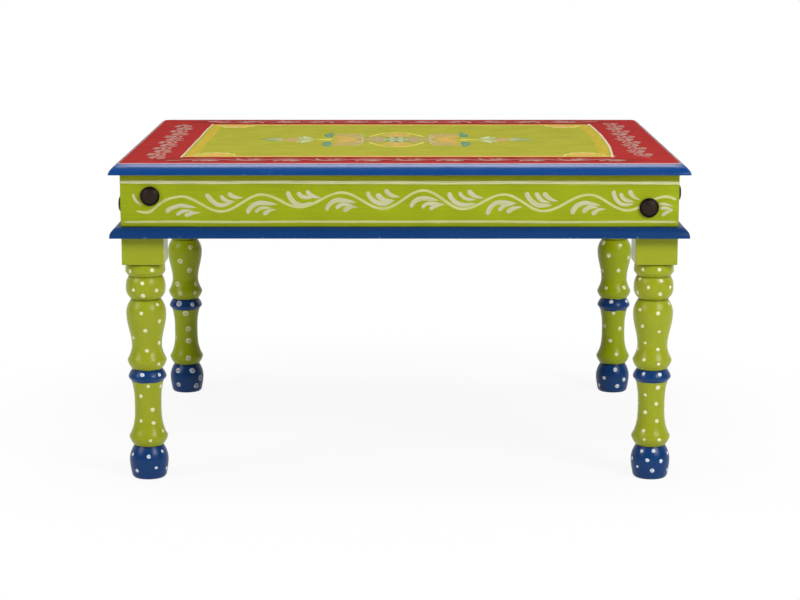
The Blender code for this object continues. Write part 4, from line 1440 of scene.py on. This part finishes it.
class PAINTED_TABLE_OT_legs(bpy.types.Operator):
    """Makes the four turned legs with their square blocks, green with a blue ring and foot"""

    bl_idname = "painted_table.legs"
    bl_label = "Legs"

    def execute(self, context):
        for number, leg in enumerate(LEGS):
            shell = Shell()
            self.add_turning(shell, leg, number)
            self.add_square(shell, leg)
            # The back legs take the greener copy of the leg enamel, as painted shade.
            green = "back_green" if "back" in leg else "leg_green"
            materials = [side_enamel(green, ROUND_Z), side_enamel("blue", ROUND_Z)]
            add_piece(leg.replace("leg", "turned_leg"), shell, materials, "green_paint", leg)
        return {"FINISHED"}

    def add_turning(self, shell, leg, number):
        """Adds the turned part, with hand-cut edges between its two paints."""
        axis = leg_axis(leg)
        run = LONG_RUN if leg == "leg_back_right" else RUN
        heights = []
        paints = []
        for curve, (low, high) in enumerate(LEG_HEIGHTS):
            blue = curve in BLUE_TURNINGS
            blue_before = curve - 1 in BLUE_TURNINGS
            if curve and blue and not blue_before:
                heights.append((low, -1))
                paints.append(1)
            for step in range(CURVE_STEPS):
                heights.append((low + (high - low) * step / CURVE_STEPS, 0))
                paints.append(int(blue))
            if blue_before and not blue:
                paints[-CURVE_STEPS] = 1
                heights.insert(len(heights) - CURVE_STEPS + 1, (low, 1))
                paints.insert(len(paints) - CURVE_STEPS + 1, 0)
        heights.append((TURNED_TOP, 0))
        paints.append(0)
        rings = []
        wear = []
        for height, creep in heights:
            ring = []
            # Crevices get painted shade with some dirt, and the turning just under the block gets
            # painted shade, both as negative wear.
            narrow = min(abs(height - crevice) for crevice in CREVICES) < CREVICE_HALF
            under = 0.0 if height < TURNED_TOP - 2 * MM else UNDER_BLOCK_SHADE
            wear += [CREVICE_SHADE_AND_DIRT if narrow and not creep else under] * ROUND_STEPS
            for step in range(ROUND_STEPS):
                angle = step / ROUND_STEPS * tau
                uneven = noise.noise(Vector((2 * cos(angle), 2 * sin(angle), number * LEGS_APART)))
                z = height + creep * max(LEAST_CREEP, CREEP + run * (0.5 + uneven))
                radius = leg_radius(z)
                ring.append(axis + Vector((radius * cos(angle), radius * sin(angle), z)))
            rings.append(ring)
        shell.loft(rings, lambda ring, step: paints[ring], wear)

    def add_square(self, shell, leg):
        """Adds the square block, and the post that goes on up behind the aprons."""
        axis = leg_axis(leg)
        low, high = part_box(leg)
        block_half = (high.x - low.x) / 2
        shoulder = MOULDING_LOW.z
        worn, plain = BLOCK_WEAR
        rings = []
        wear = []
        for z, inset in (
            (TURNED_TOP, BLOCK_EASE), (TURNED_TOP + 0.4 * BLOCK_EASE, 0.25 * BLOCK_EASE),
            (TURNED_TOP + BLOCK_EASE, 0.0), (TURNED_TOP + 4 * BLOCK_EASE, 0.0),
            (shoulder - BLOCK_EASE, 0.0),
        ):
            rings.append(self.square_ring(axis, block_half - inset, z))
            wear += [worn if inset else plain] * len(rings[-1])
        shell.loft(rings, 0, wear)
        post_half = POST_SIDE / 2
        inset = block_half - post_half
        middle = axis - Vector((copysign(inset, axis.x), copysign(inset, axis.y), 0.0))
        heights = (shoulder - 2 * BLOCK_EASE, shoulder + 20 * MM, high.z)
        shell.loft([self.square_ring(middle, post_half, z) for z in heights], 0)

    def square_ring(self, middle, half, z):
        """Ring of points round the block or the post at a height."""
        outline = rounded_outline(half, half, BLOCK_EASE, BLOCK_STEPS, BLOCK_STEPS)
        return [middle + Vector((p.x, p.y, z)) for p in outline]


# Dots on the half of each leg that faces the camera, in mm: right of the leg's axis, and
# over the floor. The far half has the same dots, turned half round.
LEG_DOTS = {
    "leg_front_left": (
        (9.3, 300.3), (-21.5, 298.3), (-4.9, 282), (-17.4, 272.2), (14.8, 271.4), (-4.2, 264.3),
        (15.6, 250.5), (-7.3, 239.8), (18.1, 227.1), (-1.9, 214.8), (-18.4, 202.8), (16.9, 194.5),
        (-0.3, 185.6), (15.8, 166.1), (-7.7, 151.4), (16.4, 150.1), (0.4, 134.3), (17.9, 132),
        (-10.1, 119.4), (5.8, 99.5), (-10.6, 83.7), (7, 81), (20, 67.5), (2, 57.1), (-23.1, 34.8),
        (-0.9, 34.3), (18.5, 39.2), (-17.7, 12.7), (9.4, 17.3), (23.9, 12.6),
    ),
    "leg_front_right": (
        (-15.3, 300.8), (7.8, 301.4), (-19.1, 286.3), (10.7, 285.3), (-7.2, 276.1), (-22.1, 267.5),
        (9.8, 267.1), (23.2, 275.2), (-18.1, 243.1), (7.2, 239.9), (21.9, 251.1), (-14.2, 220.6),
        (9.2, 212.8), (-9.9, 196), (7.8, 186.8), (-20, 185.2), (-11.3, 172.9), (9.5, 167.4),
        (-11.3, 152.3), (11.5, 151.9), (9.2, 132.4), (-8.3, 121.2), (7.5, 108.7), (-18, 106.9),
        (-8, 96.1), (-19.4, 85.4), (8.5, 83.7), (-9.8, 70.1), (-8.6, 58.5), (12.7, 58),
        (-11.8, 40.5), (5, 41.8), (24.4, 35.7), (-25.3, 27.3), (-3.6, 28.8), (15.5, 27),
        (-17.4, 17.8), (3.7, 14.1), (24.4, 11.9),
    ),
    "leg_back_right": (
        (-18.3, 251), (10, 248.9), (-8.9, 231.5), (23.7, 226.6), (7.7, 206.5), (-18.8, 203.7),
        (-12.5, 176.2), (17.5, 177.2), (-3.5, 153.8), (21.7, 152.6), (0.6, 133.8), (-14.1, 111),
        (11.5, 107.2), (-4.2, 87.1), (6.4, 65.3), (4.7, 39.2), (-13.1, 24.9), (20, 22.3),
        (8.8, 11.6), (-21.4, 10.2),
    ),
    "leg_back_left": (
        (9, 245.2), (-8.4, 222.9), (6.4, 206.3), (-14, 183.2), (17.2, 182), (-9, 168.6),
        (15.4, 168.9), (-12.2, 150.3), (10.3, 149.2), (22.6, 150.7), (-0.8, 134.1), (3.3, 107.1),
        (3.3, 87.1), (-18, 91.4), (2.4, 59.5), (-15.6, 37.3), (8.6, 37.7), (21.5, 23.3),
        (-14.9, 14.1), (14.6, 11.2),
    ),
}
# Turn of the camera's view from square to the table, at the legs on either side.
VIEW_TURN = radians(7)
# Furthest place of a dot to the side, as a share of the leg's radius, and least distances from
# the floor and from the square block.
DOT_SIDE = 0.97
DOT_LOW = 8 * MM
DOT_HIGH = 5 * MM
# Least and most size of a dot, larger ones at the back, and how thin its paint may be. The back
# left leg's dots are the thinnest.
DOT_SIZES = (0.82, 1.15)
DOT_GROWTH = {"leg_back_left": 1.65, "leg_back_right": 1.25}
DOT_THIN = 0.06
FAINT_THIN = 0.30
# How far the dots of the far half stray from those of the near half, in mm.
DOT_STRAY = 3
# Seeds from one leg's dots to the next one's.
LEG_SEEDS = 20


class PAINTED_TABLE_OT_leg_dots(bpy.types.Operator):
    """Paints white dots on the turned parts of the legs"""

    bl_idname = "painted_table.leg_dots"
    bl_label = "Leg dots"

    def execute(self, context):
        for number, leg in enumerate(LEGS):
            hand = Random(number)
            axis = leg_axis(leg)
            faint = leg == "leg_back_left"
            view = VIEW_TURN if axis.x < 0 else -VIEW_TURN
            shell = Shell()
            for half_turn in (0, pi):
                for dot, (across, height) in enumerate(LEG_DOTS[leg]):
                    z = height * MM
                    share = max(-DOT_SIDE, min(DOT_SIDE, across * MM / leg_radius(z)))
                    angle = asin(share) - pi / 2 + view + half_turn
                    if half_turn:
                        z += hand.uniform(-DOT_STRAY, DOT_STRAY) * MM
                    z = max(DOT_LOW, min(TURNED_TOP - DOT_HIGH, z))
                    radius = sizes().dot_diameter / 2 * hand.uniform(*DOT_SIZES)
                    radius *= DOT_GROWTH.get(leg, 1.0)
                    thin = FAINT_THIN if faint else hand.uniform(0.0, DOT_THIN)
                    add_dot(
                        shell, self.on_leg(axis, angle, z), radius, sizes().dot_height,
                        LEG_SEEDS * number + dot, int(self.on_blue(z)), thin,
                    )
            materials = stroke_paints(("white", "leg_green"), ("cool_white", "blue"))
            add_piece(leg.replace("leg", "leg_dots"), shell, materials, "cream_paint")
        return {"FINISHED"}

    def on_blue(self, height):
        """Whether a leg is blue at a height."""
        blues = [LEG_HEIGHTS[curve] for curve in BLUE_TURNINGS]
        return any(low <= height < high for low, high in blues)

    def on_leg(self, axis, angle, height):
        """Function that places points round a dot on a leg."""
        slope = (leg_radius(height + MM) - leg_radius(height - MM)) / (2 * MM)
        stretch = 1 / sqrt(1 + slope * slope)

        def place(u, v, proud):
            z = height + v * stretch
            radius = leg_radius(z)
            turned = angle + u / radius
            radius += proud * stretch
            z -= proud * stretch * slope
            return axis + Vector((radius * cos(turned), radius * sin(turned), z))

        return place


# Metal

# Head of a bolt from its crown out: share of its radius, and depth under the crown in mm.
BOLT_CROWN = (
    (0.04, 0.0), (0.35, 0.2), (0.57, 0.7), (0.70, 1.4), (0.76, 2.1), (0.79, 2.6), (0.90, 3.0),
    (0.97, 3.8), (1.0, 4.9),
)
# Its back: share of its radius, and distance from the apron's face in mm.
BOLT_BACK = ((0.99, 0.8), (0.95, 0.1))
# Rings that lie on the disc in the middle of the head, which is painted a lighter brown as painted
# light on the face that turns to the lamps.
DISC_RINGS = 4
BOLT_STEPS = 40
# How uneven the forging has left the head, and how far bolts lie apart in its noise.
FORGED = 0.012
BOLTS_APART = 40
# Shank: its radius, and distance from its tail at which it stops being plain.
SHANK = 4 * MM
PLAIN_END = 24 * MM
# Thread: pitch, depth, distance from the tail at which it starts, length, and rings. The tail has
# a share of the shank's radius.
PITCH = 1.25 * MM
THREAD_DEPTH = 0.6 * MM
THREAD_START = 23.5 * MM
THREAD_LENGTH = 22.5 * MM
THREAD_RINGS = 80
TAIL_SHARE = 0.7


class PAINTED_TABLE_OT_bolts(bpy.types.Operator):
    """Makes the eight iron bolts, with a broad button head and a thread"""

    bl_idname = "painted_table.bolts"
    bl_label = "Bolts"

    def execute(self, context):
        for side in SIDES:
            for level in ("high", "low"):
                node = f"bolt_{side}_{level}"
                shell = Shell()
                self.add_bolt(shell, side, node)
                # The head's middle disc takes the lighter copy of the iron, as painted light.
                materials = [
                    finish("blackened iron, rubbed", blackened_iron, colours().rubbed_iron),
                    finish("blackened iron", blackened_iron, colours().iron),
                ]
                add_piece(f"iron_{node}", shell, materials, "dark_iron", node)
        return {"FINISHED"}

    def add_bolt(self, shell, side, node):
        """Adds a bolt, turned about its axis from the crown of its head to its tail."""
        low, high = side_box(side, node)
        middle = (low + high) / 2
        head = (high.z - low.z) / 2
        face = -side_reach(side)
        profile = [(share * head, low.y + depth * MM) for share, depth in BOLT_CROWN]
        profile += [(share * head, face - depth * MM) for share, depth in BOLT_BACK]
        profile += [(SHANK, face), (SHANK, high.y - PLAIN_END)]
        turn = side_turn(side)
        rings = []
        for radius, y in profile:
            rings.append(self.round_ring(turn, middle, radius, y, radius > 2 * SHANK))
        for number in range(THREAD_RINGS + 1):
            y = high.y - THREAD_START + THREAD_LENGTH * number / THREAD_RINGS
            rings.append(self.round_ring(turn, middle, SHANK, y, threaded=True))
        rings.append(self.round_ring(turn, middle, TAIL_SHARE * SHANK, high.y))
        shell.loft(rings, lambda ring, step: int(ring >= DISC_RINGS))

    def round_ring(self, turn, middle, radius, y, forged=False, threaded=False):
        """Ring of points round a bolt's axis, forged slightly uneven or cut with a thread."""
        ring = []
        for step in range(BOLT_STEPS):
            angle = step / BOLT_STEPS * tau
            x, z = cos(angle), sin(angle)
            size = radius
            if forged:
                size *= 1 + FORGED * noise.noise(Vector((2 * x, 2 * z, middle.x * BOLTS_APART)))
            if threaded:
                phase = (y / PITCH + step / BOLT_STEPS) % 1.0
                size -= THREAD_DEPTH * abs(2 * phase - 1)
            ring.append(turn @ Vector((middle.x + size * x, y, middle.z + size * z)))
        return ring


class PAINTED_TABLE_OT_fixings(bpy.types.Operator):
    """Plates the washers, nuts and screws of the CAD model with zinc"""

    bl_idname = "painted_table.fixings"
    bl_label = "Fixings"

    def execute(self, context):
        zinc = finish("zinc-plated steel", zinc_plate, colours().zinc)
        for name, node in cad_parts.items():
            if name.startswith(("washer", "nut", "cleat_screw", "moulding_screw")):
                node.data.materials.clear()
                node.data.materials.append(zinc)
        return {"FINISHED"}


class PAINTED_TABLE_OT_cleats(bpy.types.Operator):
    """Makes the sawn strips that hold the top"""

    bl_idname = "painted_table.cleats"
    bl_label = "Cleats"

    def execute(self, context):
        for side in SIDES:
            low, high = side_box(side, f"cleat_{side}")
            reach = side_reach(side)
            section = soft_section(-high.y - reach, -low.y - reach, low.z, high.z, CLEAT_EASE, 0.0)
            shell = Shell()
            add_strip(shell, side, section, 0, ends=high.x, uneven=CLEAT_WAVES)
            material = bare_wood(BRUSH_OF_SIDE[side])
            add_piece(f"sawn_cleat_{side}", shell, [material], "bare_wood", f"cleat_{side}")
        return {"FINISHED"}


# The stage

WHITE = (1.0, 1.0, 1.0, 1.0)
# The camera looks along +Y and down by its tilt in radians. Its lens and sensor are in mm.
CAMERA_PLACE = (0.0005, -3.3054, 0.7983)
CAMERA_TILT = 0.1781
CAMERA_LENS = 98.56
SENSOR_WIDTH = 36.0
# The point at which every lamp is aimed.
LAMP_AIM = Vector((0.0, 0.0, 0.30))
# Soft boxes: name, place, width, height, and power in watts.
SOFT_BOXES = (
    ("soft_box_left", (-2.7, -1.7, 2.0), 1.4, 1.4, 44.0),
    ("soft_box_right", (2.2, -2.6, 2.2), 1.4, 1.4, 91.0),
    ("soft_box_over", (0.0, 0.15, 3.0), 1.7, 1.0, 36.5),
)
# Light of the surroundings on the table, of the room that its gloss mirrors, and the depth of the
# mirrored direction at which that room gives way to the white backdrop.
FILL = 0.15
ROOM = 0.06
BACKDROP_DEPTH = 0.4
# Half the floor's side, and its paper.
FLOOR_HALF = 12.0
PAPER = (0.9, 0.9, 0.9, 1.0)
# Share of the floor's white that shadows don't reach, under the table and away from it.
FLOOR_GLOW = (0.91, 1.0)
# Distances from the middle between which the shadows fade out.
SHADOW_REACH = (0.45, 0.85)


def ray_kinds(tree):
    """Two sockets: 1 for rays from the camera, and 1 for rays that mirror or pass through."""
    rays = add_node(tree, "LightPath", {}).node.outputs
    mirrored = add_node(tree, "Math", {
        0: rays["Is Glossy Ray"], 1: rays["Is Transmission Ray"],
    }, operation="MAXIMUM")
    return rays["Is Camera Ray"], mirrored


class PAINTED_TABLE_OT_stage(bpy.types.Operator):
    """Sets up the white floor, the soft boxes and the camera"""

    bl_idname = "painted_table.stage"
    bl_label = "Stage"

    def execute(self, context):
        scene = context.scene
        scene.view_settings.view_transform = "Standard"
        self.add_floor(scene)
        self.add_world(scene)
        for name, place, width, height, power in SOFT_BOXES:
            lamp = bpy.data.lights.new(name, "AREA")
            lamp.shape = "RECTANGLE"
            lamp.size = width
            lamp.size_y = height
            lamp.energy = power
            box = bpy.data.objects.new(name, lamp)
            box.location = place
            box.rotation_euler = (LAMP_AIM - box.location).to_track_quat("-Z", "Y").to_euler()
            scene.collection.objects.link(box)
        lens = bpy.data.cameras.new("camera")
        lens.sensor_width = SENSOR_WIDTH
        lens.lens = CAMERA_LENS
        camera = bpy.data.objects.new("camera", lens)
        camera.location = CAMERA_PLACE
        camera.rotation_euler = (pi / 2 - CAMERA_TILT, 0.0, 0.0)
        scene.collection.objects.link(camera)
        scene.camera = camera
        return {"FINISHED"}

    def add_floor(self, scene):
        """Adds a white paper floor, which keeps the table's shadow."""
        z = CAD_BOX[0].z
        corners = ((-1, -1), (1, -1), (1, 1), (-1, 1))
        mesh = bpy.data.meshes.new("floor")
        mesh.from_pydata(
            [(x * FLOOR_HALF, y * FLOOR_HALF, z) for x, y in corners], [], [(0, 1, 2, 3)],
        )
        material, tree = empty_material("white paper floor")
        paper = add_node(tree, "BsdfDiffuse", {"Color": PAPER})
        glow = add_node(tree, "Emission", {"Color": WHITE})
        where = add_node(tree, "TexCoord", {}, "Object")
        away = add_node(tree, "VectorMath", {0: where}, "Value", operation="LENGTH")
        white = add_node(tree, "MapRange", {
            "Value": away, "From Min": SHADOW_REACH[0], "From Max": SHADOW_REACH[1],
            "To Min": FLOOR_GLOW[0], "To Max": FLOOR_GLOW[1],
        }, interpolation_type="SMOOTHSTEP")
        from_camera, mirrored = ray_kinds(tree)
        seen = add_node(tree, "Math", {0: from_camera, 1: mirrored}, operation="MAXIMUM")
        share = add_node(tree, "Math", {0: seen, 1: white}, operation="MULTIPLY")
        mixed = add_node(tree, "MixShader", {0: share, 1: paper, 2: glow})
        add_node(tree, "OutputMaterial", {"Surface": mixed})
        mesh.materials.append(material)
        floor = bpy.data.objects.new("floor", mesh)
        scene.collection.objects.link(floor)
        floor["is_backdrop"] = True

    def add_world(self, scene):
        """Adds white surroundings, whose light on the table is a soft fill. Its gloss mirrors the
        white backdrop behind it, and the dim room on the camera's side."""
        world = bpy.data.worlds.new("white studio")
        world.use_nodes = True
        tree = world.node_tree
        tree.nodes.clear()
        from_camera, mirrored = ray_kinds(tree)
        where = add_node(tree, "TexCoord", {}, "Generated")
        depth = add_node(tree, "SeparateXYZ", {"Vector": where}, "Y")
        backdrop = add_node(tree, "MapRange", {
            "Value": depth, "From Min": 0.0, "From Max": BACKDROP_DEPTH,
            "To Min": ROOM, "To Max": 1.0,
        })
        fill = add_node(tree, "MapRange", {"Value": mirrored, "To Min": FILL, "To Max": backdrop})
        level = add_node(tree, "Math", {0: from_camera, 1: fill}, operation="MAXIMUM")
        light = add_node(tree, "Background", {"Color": WHITE, "Strength": level})
        add_node(tree, "OutputWorld", {"Surface": light})
        scene.world = world


OPERATORS = (
    PAINTED_TABLE_OT_stage,
    PAINTED_TABLE_OT_top_board,
    PAINTED_TABLE_OT_top_lines,
    PAINTED_TABLE_OT_border_vines,
    PAINTED_TABLE_OT_field_bands,
    PAINTED_TABLE_OT_medallion,
    PAINTED_TABLE_OT_aprons,
    PAINTED_TABLE_OT_apron_paint,
    PAINTED_TABLE_OT_mouldings,
    PAINTED_TABLE_OT_legs,
    PAINTED_TABLE_OT_leg_dots,
    PAINTED_TABLE_OT_bolts,
    PAINTED_TABLE_OT_fixings,
    PAINTED_TABLE_OT_cleats,
)


class PAINTED_TABLE_PT_panel(bpy.types.Panel):
    """Lists the table's pieces, sizes and colours"""

    bl_idname = "PAINTED_TABLE_PT_panel"
    bl_label = "Painted table"
    bl_space_type = "VIEW_3D"
    bl_region_type = "UI"
    bl_category = "Painted table"

    def draw(self, context):
        for operator in OPERATORS:
            self.layout.operator(operator.bl_idname)
        for group in (sizes(), colours()):
            column = self.layout.column()
            for name in group.bl_rna.properties.keys():
                if name not in ("name", "rna_type"):
                    column.prop(group, name)


CLASSES = (TableSizes, TableColours, *OPERATORS, PAINTED_TABLE_PT_panel)


def register():
    """Registers the classes, and gives the scene its sizes and colours."""
    for kind in CLASSES:
        bpy.utils.register_class(kind)
    bpy.types.Scene.painted_table_sizes = bpy.props.PointerProperty(type=TableSizes)
    bpy.types.Scene.painted_table_colours = bpy.props.PointerProperty(type=TableColours)


def unregister():
    """Takes back what register has done."""
    del bpy.types.Scene.painted_table_colours
    del bpy.types.Scene.painted_table_sizes
    for kind in reversed(CLASSES):
        bpy.utils.unregister_class(kind)


def main():
    """Makes the stage and every piece."""
    register()
    for operator in OPERATORS:
        group, name = operator.bl_idname.split(".")
        getattr(getattr(bpy.ops, group), name)()
    boxes = {"cad": CAD_BOX, "visual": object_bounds()}
    {name: [list(low), list(high)] for name, (low, high) in boxes.items()}


if __name__ == "__main__":
    main()
